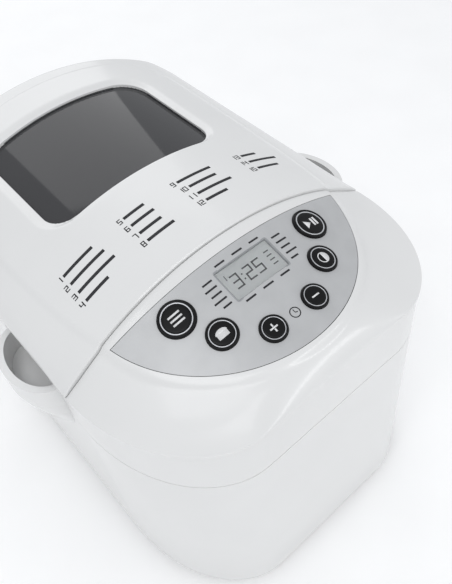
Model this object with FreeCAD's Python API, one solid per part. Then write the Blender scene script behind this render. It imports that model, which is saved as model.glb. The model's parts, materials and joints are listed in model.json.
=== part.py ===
"""Bread machine: arched white casing, hinged lid, control shoulder, oven tub, bread pan and belt drive.

Millimetres, +Z up, -Y is the front. The origin is under the middle of the machine, on the floor.
"""

import FreeCAD, Part
import math
import os

# Overall casing
BODY_WIDTH = 268.0
BODY_DEPTH = 375.0
DISPLAY_HEIGHT = 270.0  # middle of the display above the floor
CORNER_WIDTH = 74.0  # front corners are quarter ellipses
CORNER_DEPTH = 108.0
REAR_CORNER = 45.0
WALL = 2.6
CASING_STEP = 1.2  # the body stands back from the top cover's rim by this

# Arched top
CROWN_FALL = 44.254  # how far the arch falls from its ridge to the sides
PANEL_SLOPE = 18.0
LID_SLOPE = 4.0
DISPLAY_SETBACK = 75.0  # display centre behind the front edge
SEAM_SETBACK = 105.0  # lid seam behind the front edge
LID_RISE = 11.0  # lid surface over the display centre, at the seam
FIELD_STEP = 1.8  # height of the raised field
RIM_ROOM = 2.672  # lid parting plane under the shoulder's front corners
LID_EDGE = 2.33  # least height of the lid's sides
SEAM_GAP = 0.8
SHOULDER_ROUND = 12.0
SHOULDER_WALL = 5.0
LIP_SHORTEST = 20.0  # shorter edges of the shoulder stay sharp
SEAM_CLEAR = 5.0
HEADROOM = 60.0
LID_GAP = 0.6
DECK = 2.5
CREASE_DROP = 80.0  # groove round the housing under the display centre
CREASE_SIZE = 0.8
VENT_WIDTH = 4.0
VENT_HEIGHT = 26.0
VENT_PITCH = 9.0
VENT_COUNT = 9
VENT_ROWS = [110.0, 150.0]

# Control panel, in its own plane: x to the right, y up the slope
PANEL_RADIUS = 100.0
PANEL_CENTRE_UP = 40.4
PANEL_TIP_UP = 18.0
PANEL_TOP_UP = 21.5
PANEL_THICK = 1.6
PANEL_GAP = 0.3
PANEL_REACH = 35.0  # deeper than the arch falls at the panel's tips
FIELD_MARGIN = 4.0
SCREEN_WIDTH = 43.8
SCREEN_HEIGHT = 24.0
SCREEN_GAP = 0.3
SCREEN_SINK = 1.8
SCREEN_THICK = 1.2
MODULE_LIP = 4.0
MODULE_THICK = 5.0
MODULE_GAP = 0.1
BUTTONS = {
    "menu_button": (-57.5, 4.0, 12.4),
    "loaf_button": (-43.2, -21.7, 10.3),
    "plus_button": (-17.7, -39.2, 9.0),
    "minus_button": (17.7, -39.2, 9.0),
    "shade_button": (43.2, -21.7, 10.3),
    "start_button": (57.5, 4.0, 12.4),
}
BUTTON_PROUD = 1.8
BUTTON_GAP = 0.35
BUTTON_TRAVEL = 1.2
BUTTON_FLANGE = 1.8
FLANGE_THICK = 1.2
FLANGE_GAP = 0.2
STEM_RADIUS = 2.2
STEM_GAP = 0.4  # left over the switch at full travel
BOARD_DEPTH = 24.0  # top of the control board under the display centre
BOARD_THICK = 1.6
BOARD_HALF_WIDTH = 72.0
BOARD_LOW = -52.0
BOARD_ROOM = 0.921  # between the board and the shoulder's back wall
SWITCH_SIZE = 6.0
SWITCH_BODY = 3.5
SWITCH_PLUNGER = 1.5
PLUNGER_RADIUS = 1.7
BOARD_LOW_POST = (64.0, -42.0)
BOARD_HIGH_POST = (35.0, 2.5)  # across, and under the board's upper edge
POST_RADIUS = 3.5
POST_SINK = 1.2  # posts run this far into the skin
BOARD_SCREW = 1.2
BOARD_SCREW_LENGTH = 5.0
BOARD_SCREW_HEAD = 2.6

# Lid
HINGE_SETBACK = 7.5  # hinge axis in front of the back edge
HINGE_RISE = 6.0  # hinge axis over the parting plane
LID_REAR_GAP = 5.0  # lid's back wall in front of the hinge axis
PIN_RADIUS = 2.5
RUNNING_GAP = 0.05
SEAT_GAP = 0.02
KNUCKLE_RADIUS = 4.5
KNUCKLE_WIDTH = 30.0
KNUCKLE_OFFSET = 75.0
BRACKET_EAR = 2.5
EAR_GAP = 0.5
EAR_RADIUS = 4.2
WINDOW_HALF_WIDTH = 72.5
WINDOW_FRONT_ROOM = 90.0  # window behind the seam
WINDOW_REAR_ROOM = 55.5  # window in front of the lid's back wall
WINDOW_CORNER = 20.0
WINDOW_REBATE = 7.0
GASKET_THICK = 1.0
GLASS_THICK = 3.0
CLAMP_THICK = 2.0
CLAMP_LIP = 2.0
LINER_LIP = 8.0
LINER_RISE = 4.0  # liner over the parting plane
LINER_THICK = 1.2
LINER_MARGIN = 6.0
LID_FIELD_FRONT = 1.0  # half width of the lid's raised field over the panel's radius
LID_FIELD_WIDEN = 12.0
LID_FIELD_REAR = 12.0
LID_FIELD_BASE = 5.0
KNUCKLE_TRIM = 1.0
LID_POST_RADIUS = 4.0
LID_POST_HOLE = 9.0
LID_SCREW_INSET = 12.0
LID_SCREW_FRONT = 30.0
LID_SCREW_REAR = 40.0

# Oven tub
TUB_SIDE_ROOM = 32.0  # between the tub and the side of the machine
TUB_FRONT_ROOM = 20.5  # tub behind the seam
TUB_REAR_ROOM = 35.5
TUB_CORNER = 32.0
TUB_FLOOR = 44.0
TUB_WALL = 1.2
TUB_FLANGE = 8.0
HOLE_GAP = 0.5
ELEMENT_RADIUS = 3.25
ELEMENT_SIDE_GAP = 9.0
ELEMENT_HEIGHT = 41.0  # over the tub's floor
ELEMENT_CORNER = 30.0
ELEMENT_REAR_SPARE = 8.0  # room for the bend into the terminals
TERMINAL_OFFSET = 15.0
TERMINAL_BEND = 12.0
TERMINAL_OUT = 14.0
BUSH_RADIUS = 6.0
BUSH_INSIDE = 3.0
BUSH_LENGTH = 13.0
CHAMBER_SCREW_FRONT = 25.0  # front screws behind the middle of the scoops
CHAMBER_SCREW_REAR = 57.0  # rear screws in front of the tub's back
SENSOR_RADIUS = 3.0
SENSOR_LENGTH = 9.0
SENSOR_X = 40.0
SENSOR_OUT = 3.5
SENSOR_HEIGHT = 120.0
FUSE_X = -48.0
FUSE_LENGTH = 18.0
FUSE_DEPTH = 4.0
FUSE_LOW = 116.0
FUSE_HEIGHT = 6.0
SHIELD_GAP = 8.0
SHIELD_THICK = 1.0
SHIELD_SIDE_ROOM = 39.0
SHIELD_TOP_ROOM = 8.0
SHIELD_SLOT_SIDE = 2.0
SHIELD_SLOT_TOP = 8.0

# Bread pan
PAN_SIDE_ROOM = 19.5  # between the pan and the tub
PAN_END_ROOM = 32.0
PAN_CORNER = 14.0
PAN_FLOOR = 62.0
PAN_DROP = 27.5  # pan's rim under the parting plane
PAN_WALL = 2.0
PAN_RIM = 4.0
FOOT_RING_RADIUS = 45.5
FOOT_RING_WALL = 4.5
FOOT_RING_DROP = 14.0
EAR_THICK = 3.0
EAR_HALF = 8.0
EAR_DROP = 15.0
EAR_TOP = 5.0
HANDLE_RADIUS = 2.4
HANDLE_RISE = 4.0
HANDLE_SHORT = 9.0  # handle ends this far inside the pan's front
HANDLE_BEND = 18.0
HANDLE_END_BEND = 3.0
HANDLE_END_GAP = 1.0
HANDLE_OUT = 7.0
SOCKET_GAP = 0.5
SOCKET_WALL = 4.0
SOCKET_HEIGHT = 13.0
CLIP_GAP = 1.5
CLIP_FOOT = 14.0
CLIP_HALF = 8.0
CLIP_THICK = 1.2
CLIP_DROP = 2.0

# Drive
SHAFT_RADIUS = 5.0
SHAFT_BOTTOM = 16.0
PULLEY_RADIUS = 44.0
MOTOR_PULLEY_RADIUS = 10.0
PULLEY_FLANGE = 3.0
FLANGE_PLATE = 1.5
BELT_WIDTH = 8.0
BELT_THICK = 1.6
BELT_GAP = 0.4
BELT_BOTTOM = 20.0
MOTOR_SETBACK = 65.5  # motor's axis behind the front
MOTOR_RADIUS = 36.0
MOTOR_BOTTOM = 50.0
MOTOR_HEIGHT = 75.0
MOTOR_SHAFT = 4.0
ROTOR_RADIUS = 20.0
AIR_GAP = 1.0
MOTOR_WALL = 2.0
MOTOR_END_PLATE = 4.0
STATOR_INSET = 12.0
ROTOR_INSET = 14.0
MOTOR_SHAFT_SPARE = 6.0
MOTOR_LEG_SPREAD = 38.0
MOTOR_LEG_RADIUS = 4.0
MOTOR_SCREW_SPREAD = 15.0
BRACKET_HALF = 44.0
BRACKET_HOLE = 12.0
SPOKE_HOLES = 6
SPOKE_CIRCLE = 26.0
SPOKE_RADIUS = 8.0
BEARING_RADIUS = 9.0
BEARING_FLANGE = 13.0
BEARING_FLANGE_THICK = 2.5
BEARING_LENGTH = 10.0
COUPLING_RISE = 3.2
COUPLING_RADIUS = 14.0
COUPLING_THICK = 3.0
DOG_HEIGHT = 5.5
DOG_WIDTH = 6.0
DOG_INSET = 1.0
DOG_BAR_HALF = 2.5
DOG_BAR_HEIGHT = 4.5
DOG_REST = 1.0
SPINDLE_RISE = 34.0
PAN_SHAFT_RADIUS = 4.0
PAN_BUSH_RADIUS = 7.0
PAN_BOSS_RADIUS = 10.0
PAN_BOSS_DROP = 3.0
PAN_BOSS_RISE = 8.0
PADDLE_HUB = 8.0
PADDLE_HEIGHT = 25.0
PADDLE_REACH = 36.0
PADDLE_THICK = 4.0
PADDLE_LIFT = 8.6  # paddle over the pan's floor
PADDLE_STEP = 3.0
PADDLE_ROUND = 14.0
PADDLE_FIT = 0.08

# Base and frame
FOOT_RADIUS = 11.0
FOOT_HEIGHT = 9.0
FOOT_CHAMFER = 1.2
FOOT_SIDE_ROOM = 34.0
FOOT_FRONT_ROOM = 62.5
FOOT_REAR_ROOM = 42.5
BASE_THICK = 3.0
BASE_GAP = 0.2
SHEET = 2.0
SCREW_RADIUS = 1.9
SMALL_SCREW = 1.5
SMALL_HEAD = 3.0
SCREW_HEAD = 3.6
HEAD_THICK = 2.0
BOSS_RADIUS = 5.0
BOSS_HEIGHT = 30.0
BOSS_MERGE = 1.5
BOSS_HOLE = 18.0
BOSS_FRONT_ROOM = 15.0
BOSS_REAR_ROOM = 5.0
BASE_SCREW_LENGTH = 16.0
SHORT_SCREW = 8.0
BASE_SLOT_LENGTH = 46.0
BASE_SLOT_WIDTH = 4.0
BASE_SLOT_PITCH = 12.0
BASE_SLOT_COUNT = 6
BASE_SLOT_X = 62.0
BASE_SLOT_SETBACK = 10.0
BASE_RIB = 2.0
BASE_RIB_HEIGHT = 6.0
BASE_RIB_ROOM = 20.0  # rib behind the chassis
CHASSIS_HALF = 68.0
CHASSIS_LEG = 6.0

# Power board
POWER_SIDE_ROOM = 3.499  # between the board and the casing
POWER_RIGHT = -46.0
POWER_SETBACK = 75.5
POWER_HALF_DEPTH = 28.0
POWER_RISE = 8.0
POWER_POST = 3.0
POWER_POST_X = 29.0 / 34.0  # these are shares of the board's half width
TRANSFORMER_LEFT = -28.0 / 34.0
TRANSFORMER_RIGHT = 4.0 / 34.0
RELAY_LEFT = 10.0 / 34.0
RELAY_RIGHT = 30.0 / 34.0
CAPACITOR_X = 20.0 / 34.0
POWER_POST_Y = 23.0
TRANSFORMER_FRONT = -20.0
TRANSFORMER_BACK = 6.0
TRANSFORMER_HEIGHT = 26.0
RELAY_FRONT = -20.0
RELAY_BACK = -5.0
RELAY_HEIGHT = 16.0
CAPACITOR_Y = 8.0
CAPACITOR_RADIUS = 8.0
CAPACITOR_HEIGHT = 24.0
RIBBON_UP = 10.0
RIBBON_LEFT = -68.0
RIBBON_RIGHT = -48.0
RIBBON_HALF = 0.4
RIBBON_GAP = 0.3

# Finger scoops
SCOOP_SETBACK = 52.5  # middle of the scoops behind the seam
SCOOP_HALF_LENGTH = 36.0
SCOOP_HALF_WIDTH = 24.0
SCOOP_INSET = 4.0
SCOOP_WALL = 5.0
SCOOP_LIP_DROP = 6.0  # lip under the top cover's rim
SCOOP_DEPTH = 24.0
SCOOP_HEIGHT = 60.0
SCOOP_TURN = 37.2  # depth at which the underside turns in
SCOOP_LEVELS = [  # depth under the deck, then shares of the half width and half length
    (SCOOP_HEIGHT, 0.42, 0.78),
    (SCOOP_TURN, 0.86, 0.95),
    (SCOOP_DEPTH, 1.0, 1.0),
    (0.0, 1.0, 1.0),
]

# Cord gland
GLAND_X = -75.0
GLAND_Z = 45.0
GLAND_HALF = 9.0
GLAND_FLANGE = 2.5
GLAND_LENGTH = 14.0
CORD_BORE = 3.6
GLAND_GAP = 0.1

CLEAR = 1.0  # cuts run past a face by this
CUT_SPARE = 10.0
ROOF_ROOM = 80.0
TINY = 0.001

HALF_WIDTH = BODY_WIDTH / 2
FRONT = -BODY_DEPTH / 2
REAR = BODY_DEPTH / 2
DISPLAY_Y = FRONT + DISPLAY_SETBACK
SEAM = FRONT + SEAM_SETBACK
ARCH_RADIUS = (HALF_WIDTH**2 + CROWN_FALL**2) / (2 * CROWN_FALL)
PANEL_TILT = math.radians(PANEL_SLOPE)
LID_TILT = math.radians(LID_SLOPE)
CORNER_FALL = ARCH_RADIUS - math.sqrt(ARCH_RADIUS**2 - (HALF_WIDTH - CORNER_WIDTH) ** 2)
FRONT_FALL = DISPLAY_SETBACK * math.tan(PANEL_TILT) + (CORNER_FALL + FIELD_STEP) / math.cos(PANEL_TILT)
SIDE_FALL = (CROWN_FALL + FIELD_STEP) / math.cos(LID_TILT) - LID_RISE
RIM_DROP = max(FRONT_FALL + RIM_ROOM, SIDE_FALL + LID_EDGE)  # parting plane under the display centre
PARTING = DISPLAY_HEIGHT - RIM_DROP
DECK_UNDER = PARTING - DECK
BOARD_SHIFT = (BOARD_DEPTH + BOARD_THICK) * math.sin(PANEL_TILT)
BOARD_HIGH = (SEAM - SHOULDER_WALL - DISPLAY_Y - BOARD_ROOM - BOARD_SHIFT) / math.cos(PANEL_TILT)
BOARD_POSTS = [
    (-BOARD_LOW_POST[0], BOARD_LOW_POST[1]),
    BOARD_LOW_POST,
    (-BOARD_HIGH_POST[0], BOARD_HIGH - BOARD_HIGH_POST[1]),
    (BOARD_HIGH_POST[0], BOARD_HIGH - BOARD_HIGH_POST[1]),
]
HINGE_Y = REAR - HINGE_SETBACK
HINGE_Z = PARTING + HINGE_RISE
LID_REAR = HINGE_Y - LID_REAR_GAP
WINDOW_FRONT = SEAM + WINDOW_FRONT_ROOM
WINDOW_LENGTH = LID_REAR - WINDOW_REAR_ROOM - WINDOW_FRONT
TUB_FRONT = SEAM + TUB_FRONT_ROOM
TUB_REAR = REAR - TUB_REAR_ROOM
TUB_CENTRE = (TUB_FRONT + TUB_REAR) / 2
TUB_HALF_DEPTH = (TUB_REAR - TUB_FRONT) / 2
TUB_HALF_WIDTH = HALF_WIDTH - TUB_SIDE_ROOM
PAN_HALF_WIDTH = TUB_HALF_WIDTH - PAN_SIDE_ROOM
PAN_HALF_DEPTH = TUB_HALF_DEPTH - PAN_END_ROOM
PAN_TOP = PARTING - PAN_DROP
HANDLE_REACH = PAN_HALF_DEPTH - HANDLE_SHORT
MOTOR_CENTRE = FRONT + MOTOR_SETBACK
FOOT_X = HALF_WIDTH - FOOT_SIDE_ROOM
FOOT_FRONT = FRONT + FOOT_FRONT_ROOM
FOOT_REAR = REAR - FOOT_REAR_ROOM
SCOOP_CENTRE = SEAM + SCOOP_SETBACK
CASING_INNER = CASING_STEP + WALL
BASE_BOTTOM = FOOT_HEIGHT
BASE_TOP = BASE_BOTTOM + BASE_THICK
TUB_TOP = PARTING + TUB_WALL
SKIN_BOTTOM = FIELD_STEP + WALL
POWER_CORNER = max(0.0, CORNER_DEPTH + POWER_HALF_DEPTH - POWER_SETBACK) / CORNER_DEPTH
POWER_SIDE = HALF_WIDTH - CORNER_WIDTH * (1 - math.sqrt(1 - POWER_CORNER**2)) - CASING_INNER
POWER_LEFT = POWER_SIDE_ROOM - POWER_SIDE
POWER_HALF_WIDTH = (POWER_RIGHT - POWER_LEFT) / 2
POWER_X = (POWER_RIGHT + POWER_LEFT) / 2
POWER_Y = FRONT + POWER_SETBACK
POWER_Z = BASE_TOP + POWER_RISE
FAR = 900.0
SIDES = (-1, 1)


def vec(x, y, z):
    return FreeCAD.Vector(x, y, z)


def box(x0, x1, y0, y1, z0, z1):
    return Part.makeBox(x1 - x0, y1 - y0, z1 - z0, vec(x0, y0, z0))


def post(radius, x, y, z0, z1):
    return Part.makeCylinder(radius, z1 - z0, vec(x, y, z0))


def ring(outer, inner, x, y, z0, z1):
    return post(outer, x, y, z0, z1).cut(post(inner, x, y, z0, z1))


def rounded(half_x, half_y, corner, y, z0, z1):
    """A block with round vertical corners, centred on x = 0."""
    block = box(-half_x, half_x, y - half_y, y + half_y, z0, z1)
    upright = [e for e in block.Edges if abs(e.BoundBox.ZLength - (z1 - z0)) < TINY]
    return block.makeFillet(corner, upright)


def fuse(shapes):
    whole = shapes[0].multiFuse(shapes[1:]) if len(shapes) > 1 else shapes[0]
    return whole.removeSplitter()


def group(shapes):
    return Part.makeCompound(shapes)


def casing(inset, z0, z1):
    """The machine's plan outline, stood inwards by inset, between two heights."""
    x = HALF_WIDTH - inset
    front = FRONT + inset
    rear = REAR - inset
    corner_x = HALF_WIDTH - CORNER_WIDTH
    corner_y = FRONT + CORNER_DEPTH
    bend = REAR_CORNER - inset
    diagonal = bend * (1 - math.sqrt(0.5))
    edges = []
    for side in SIDES:
        ellipse = Part.Ellipse(
            vec(side * corner_x, front, z0), vec(side * x, corner_y, z0), vec(side * corner_x, corner_y, z0)
        )
        edges.append(Part.ArcOfEllipse(ellipse, 0, math.pi / 2).toShape())
        edges.append(Part.LineSegment(vec(side * x, corner_y, z0), vec(side * x, rear - bend, z0)).toShape())
        arc = Part.Arc(
            vec(side * x, rear - bend, z0),
            vec(side * (x - diagonal), rear - diagonal, z0),
            vec(side * (x - bend), rear, z0),
        )
        edges.append(arc.toShape())
    edges.append(Part.LineSegment(vec(-corner_x, front, z0), vec(corner_x, front, z0)).toShape())
    edges.append(Part.LineSegment(vec(-x + bend, rear, z0), vec(x - bend, rear, z0)).toShape())
    wire = Part.Wire(Part.__sortEdges__(edges))
    return Part.Face(wire).extrude(vec(0, 0, z1 - z0))


def arch(slope, y, z, drop):
    """Everything under a crown of ARCH_RADIUS whose ridge passes through (0, y, z), lowered by drop."""
    tilt = math.radians(slope)
    along = vec(0, math.cos(tilt), math.sin(tilt))
    normal = vec(0, -math.sin(tilt), math.cos(tilt))
    start = vec(0, y, z) - normal * ARCH_RADIUS - along * FAR / 2
    return Part.makeCylinder(ARCH_RADIUS - drop, FAR, start, along)


def panel_arch(drop):
    return arch(PANEL_SLOPE, DISPLAY_Y, DISPLAY_HEIGHT, drop)


def lid_arch(drop):
    return arch(LID_SLOPE, SEAM, DISPLAY_HEIGHT + LID_RISE, drop)


def on_panel(shape):
    """Carries a shape from the control panel's own frame into the machine's."""
    moved = shape.copy()
    moved.Placement = FreeCAD.Placement(
        vec(0, DISPLAY_Y, DISPLAY_HEIGHT), FreeCAD.Rotation(vec(1, 0, 0), PANEL_SLOPE)
    )
    return moved


def crown_drop(x):
    return ARCH_RADIUS - math.sqrt(ARCH_RADIUS**2 - x**2)


def half_moon(margin, z0, z1):
    """The control panel's outline, in its own frame, grown by margin."""
    radius = PANEL_RADIUS + margin
    tip_y = PANEL_TIP_UP + margin
    tip_x = math.sqrt(radius**2 - (PANEL_CENTRE_UP - tip_y) ** 2)
    low = Part.Arc(
        vec(-tip_x, tip_y, z0), vec(0, PANEL_CENTRE_UP - radius, z0), vec(tip_x, tip_y, z0)
    ).toShape()
    high = Part.Arc(
        vec(tip_x, tip_y, z0), vec(0, PANEL_TOP_UP + margin, z0), vec(-tip_x, tip_y, z0)
    ).toShape()
    return Part.Face(Part.Wire([low, high])).extrude(vec(0, 0, z1 - z0))


def button_axis(x, y):
    """Where a button's axis meets the panel, and the outward direction there."""
    lean = math.asin(x / ARCH_RADIUS)
    return vec(x, y, -crown_drop(x)), vec(math.sin(lean), 0, math.cos(lean))


def along_button(x, y, radius, low, high):
    """A cylinder on a button's axis, between two depths from the panel's surface."""
    foot, normal = button_axis(x, y)
    return on_panel(Part.makeCylinder(radius, high - low, foot + normal * low, normal))


def button_holes():
    return [
        along_button(x, y, radius + BUTTON_GAP, -SKIN_BOTTOM - CUT_SPARE, CUT_SPARE)
        for x, y, radius in BUTTONS.values()
    ]


def screen_block(margin, z0, z1):
    half_x = SCREEN_WIDTH / 2 + margin
    half_y = SCREEN_HEIGHT / 2 + margin
    return on_panel(box(-half_x, half_x, -half_y, half_y, z0, z1))


def screw(radius, head, x, y, z, length, up):
    """A screw whose head sits on the plane at z, its shank running away from the head."""
    shank = post(radius, x, y, min(z, z - up * length), max(z, z - up * length))
    cap = post(head, x, y, min(z, z + up * HEAD_THICK), max(z, z + up * HEAD_THICK))
    return fuse([shank, cap])


def base_boss_places():
    x = HALF_WIDTH - CASING_INNER - BOSS_RADIUS + BOSS_MERGE
    front = FRONT + CORNER_DEPTH + BOSS_FRONT_ROOM
    rear = REAR - REAR_CORNER - BOSS_REAR_ROOM
    return [(side * x, y) for side in SIDES for y in (front, rear)]


def feet_places():
    return [(side * FOOT_X, y) for side in SIDES for y in (FOOT_FRONT, FOOT_REAR)]


def base_pan():
    plate = casing(CASING_INNER + BASE_GAP, BASE_BOTTOM, BASE_TOP)
    cuts = []
    for x, y in base_boss_places():
        cuts.append(post(SCREW_RADIUS + SEAT_GAP, x, y, BASE_BOTTOM, BASE_TOP))
    for side in SIDES:
        low = side * BASE_SLOT_X - BASE_SLOT_LENGTH / 2
        for row in range(BASE_SLOT_COUNT):
            y = MOTOR_CENTRE + BASE_SLOT_SETBACK + row * BASE_SLOT_PITCH
            cuts.append(box(low, low + BASE_SLOT_LENGTH, y, y + BASE_SLOT_WIDTH, BASE_BOTTOM, BASE_TOP))
    front = TUB_CENTRE + CHASSIS_HALF + CHASSIS_LEG + BASE_RIB_ROOM
    rib = box(-FOOT_X, FOOT_X, front, front + BASE_RIB, BASE_TOP, BASE_TOP + BASE_RIB_HEIGHT)
    return fuse([plate.cut(fuse(cuts)), rib])


def rubber_feet():
    feet = []
    for x, y in feet_places():
        foot = post(FOOT_RADIUS, x, y, 0, FOOT_HEIGHT)
        feet.append(foot.makeChamfer(FOOT_CHAMFER, [e for e in foot.Edges if abs(e.BoundBox.ZMax) < TINY]))
    return group(feet)


def base_screws():
    screws = []
    for x, y in base_boss_places():
        screws.append(screw(SCREW_RADIUS, SCREW_HEAD, x, y, BASE_BOTTOM, BASE_SCREW_LENGTH, -1))
    return group(screws)


def scoop_ellipse(side, half_x, half_y, z0, z1):
    centre_x = HALF_WIDTH - SCOOP_INSET
    long_axis = vec(side * centre_x, SCOOP_CENTRE + half_y, z0)
    short_axis = vec(side * (centre_x + half_x), SCOOP_CENTRE, z0)
    middle = vec(side * centre_x, SCOOP_CENTRE, z0)
    ellipse = Part.Ellipse(long_axis, short_axis, middle)
    return Part.Face(Part.Wire(ellipse.toShape())).extrude(vec(0, 0, z1 - z0))


def scoop_outer(side, margin):
    """The scoop's tapered outside, up to the top cover's underside."""
    centre_x = side * (HALF_WIDTH - SCOOP_INSET)
    wires = []
    for drop, share_x, share_y in SCOOP_LEVELS:
        z = DECK_UNDER - drop
        half_x = SCOOP_HALF_WIDTH * share_x + margin
        half_y = SCOOP_HALF_LENGTH * share_y + margin
        ellipse = Part.Ellipse(
            vec(centre_x, SCOOP_CENTRE + half_y, z),
            vec(centre_x + side * half_x, SCOOP_CENTRE, z),
            vec(centre_x, SCOOP_CENTRE, z),
        )
        wires.append(Part.Wire(ellipse.toShape()))
    return Part.makeLoft(wires, True, True)


def finger_scoop(side):
    shell = scoop_outer(side, 0)
    half_x = SCOOP_HALF_WIDTH - SCOOP_WALL
    half_y = SCOOP_HALF_LENGTH - SCOOP_WALL
    pocket = scoop_ellipse(side, half_x, half_y, DECK_UNDER - SCOOP_DEPTH, PARTING)
    wall_x = HALF_WIDTH - CASING_STEP
    low = DECK_UNDER - SCOOP_LIP_DROP
    outside = box(
        min(side * wall_x, side * FAR), max(side * wall_x, side * FAR), -FAR, FAR, low, PARTING
    )
    return shell.cut(pocket).cut(outside)


def housing_shell():
    shell = casing(CASING_STEP, BASE_BOTTOM, DECK_UNDER).cut(casing(CASING_INNER, BASE_BOTTOM, DECK_UNDER))
    bosses = []
    for x, y in base_boss_places():
        boss = post(BOSS_RADIUS, x, y, BASE_TOP, BASE_TOP + BOSS_HEIGHT)
        bosses.append(boss.common(casing(CASING_STEP + WALL / 2, BASE_TOP, DECK_UNDER)))
    shell = fuse([shell] + bosses)
    cuts = []
    for x, y in base_boss_places():
        cuts.append(post(SCREW_RADIUS + SEAT_GAP, x, y, BASE_BOTTOM, BASE_TOP + BOSS_HOLE))
    low = DISPLAY_HEIGHT - CREASE_DROP
    top = low + CREASE_SIZE
    cuts.append(casing(CASING_STEP, low, top).cut(casing(CASING_STEP + CREASE_SIZE, low, top)))
    cuts += [scoop_outer(side, BASE_GAP) for side in SIDES]
    inside = REAR - CUT_SPARE
    for bottom in VENT_ROWS:
        for index in range(VENT_COUNT):
            x = (index - (VENT_COUNT - 1) / 2) * VENT_PITCH
            left = x - VENT_WIDTH / 2
            cuts.append(box(left, left + VENT_WIDTH, inside, REAR, bottom, bottom + VENT_HEIGHT))
    half = GLAND_HALF + GLAND_GAP
    cuts.append(box(GLAND_X - half, GLAND_X + half, inside, REAR, GLAND_Z - half, GLAND_Z + half))
    return shell.cut(fuse(cuts))


def cord_gland():
    outer_face = REAR - CASING_STEP
    inner_face = REAR - CASING_INNER
    half = GLAND_HALF
    wide = half + GLAND_FLANGE
    neck = box(GLAND_X - half, GLAND_X + half, inner_face, outer_face, GLAND_Z - half, GLAND_Z + half)
    nut_end = inner_face - GLAND_LENGTH + WALL
    nut = box(GLAND_X - wide, GLAND_X + wide, nut_end, inner_face, GLAND_Z - wide, GLAND_Z + wide)
    bore_start = vec(GLAND_X, REAR - 2 * GLAND_LENGTH, GLAND_Z)
    bore = Part.makeCylinder(CORD_BORE, 3 * GLAND_LENGTH, bore_start, vec(0, 1, 0))
    return fuse([neck, nut]).cut(bore)


def tub_hole(gap):
    half_x = TUB_HALF_WIDTH + gap
    half_y = TUB_HALF_DEPTH + gap
    return rounded(half_x, half_y, TUB_CORNER + gap, TUB_CENTRE, DECK_UNDER - CLEAR, PARTING + CLEAR)


def chamber_screw_places():
    x = TUB_HALF_WIDTH + TUB_FLANGE / 2
    rows = (SCOOP_CENTRE + CHAMBER_SCREW_FRONT, TUB_REAR - CHAMBER_SCREW_REAR)
    return [(side * x, y) for side in SIDES for y in rows]


def pod_block(inset, drop):
    """The front shoulder as a solid block, stood inwards by inset and under the arch by drop."""
    block = casing(inset, DECK_UNDER - inset, DISPLAY_HEIGHT + HEADROOM)
    block = block.common(box(-FAR, FAR, -FAR, SEAM - inset, 0, FAR))
    return block.common(panel_arch(drop))


def rounded_pod():
    """The shoulder with its front edge rounded over."""
    block = pod_block(0, FIELD_STEP)
    lip = []
    for edge in block.Edges:
        bounds = edge.BoundBox
        if bounds.ZMin > PARTING + CLEAR and bounds.YMin < SEAM - SEAM_CLEAR and edge.Length > LIP_SHORTEST:
            lip.append(edge)
    return block.makeFillet(SHOULDER_ROUND, lip)


def top_cover():
    """The front shoulder, with the raised half-moon field, the panel's pocket and the board's posts."""
    front_half = box(-FAR, FAR, -FAR, SEAM, 0, FAR)
    field = on_panel(half_moon(FIELD_MARGIN, -PANEL_REACH, PANEL_REACH)).common(panel_arch(0))
    field = field.common(casing(0, DECK_UNDER, DISPLAY_HEIGHT + HEADROOM)).common(front_half)
    rim = casing(0, DECK_UNDER, PARTING).common(front_half)
    pocket = on_panel(half_moon(PANEL_GAP, -PANEL_REACH, PANEL_REACH))
    pocket = pocket.common(panel_arch(0).cut(panel_arch(PANEL_THICK)))
    screen = screen_block(SCREEN_GAP, -2 * CUT_SPARE, CUT_SPARE)
    cover = fuse([rounded_pod(), field, rim])
    for cut in [pod_block(SHOULDER_WALL, SKIN_BOTTOM), pocket, screen]:
        cover = cover.cut(cut)
    for hole in button_holes():
        cover = cover.cut(hole)
    posts = []
    for x, y in BOARD_POSTS:
        top = -crown_drop(x) - SKIN_BOTTOM + POST_SINK
        pillar = post(POST_RADIUS, x, y, -BOARD_DEPTH, top)
        pillar = pillar.cut(post(BOARD_SCREW, x, y, -BOARD_DEPTH, -BOARD_DEPTH + BOARD_SCREW_LENGTH + CLEAR))
        posts.append(on_panel(pillar))
    return fuse([cover] + posts)


def deck_ring():
    """The flat collar that the lid closes on, from the seam to the back."""
    deck = casing(0, DECK_UNDER, PARTING).common(box(-FAR, FAR, SEAM, FAR, 0, FAR)).cut(tub_hole(HOLE_GAP))
    for x, y in chamber_screw_places():
        deck = deck.cut(post(SMALL_SCREW + SEAT_GAP, x, y, DECK_UNDER, PARTING))
    pocket_half_x = SCOOP_HALF_WIDTH - SCOOP_WALL
    pocket_half_y = SCOOP_HALF_LENGTH - SCOOP_WALL
    for side in SIDES:
        deck = deck.cut(scoop_ellipse(side, pocket_half_x, pocket_half_y, DECK_UNDER, PARTING))
    return deck


def control_panel():
    plate = on_panel(half_moon(0, -PANEL_REACH, PANEL_REACH))
    plate = plate.common(panel_arch(0)).cut(panel_arch(PANEL_THICK))
    plate = plate.cut(screen_block(SCREEN_GAP, -2 * CUT_SPARE, CUT_SPARE))
    for hole in button_holes():
        plate = plate.cut(hole)
    return plate


def lcd_window():
    return screen_block(0, -SCREEN_SINK - SCREEN_THICK, -SCREEN_SINK)


def lcd_module():
    half_x = SCREEN_WIDTH / 2 + MODULE_LIP
    half_y = SCREEN_HEIGHT / 2 + MODULE_LIP
    top = -crown_drop(half_x) - SKIN_BOTTOM - MODULE_GAP
    body = on_panel(box(-half_x, half_x, -half_y, half_y, top - MODULE_THICK, top))
    return fuse([body, screen_block(0, top, -SCREEN_SINK - SCREEN_THICK)])


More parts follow.
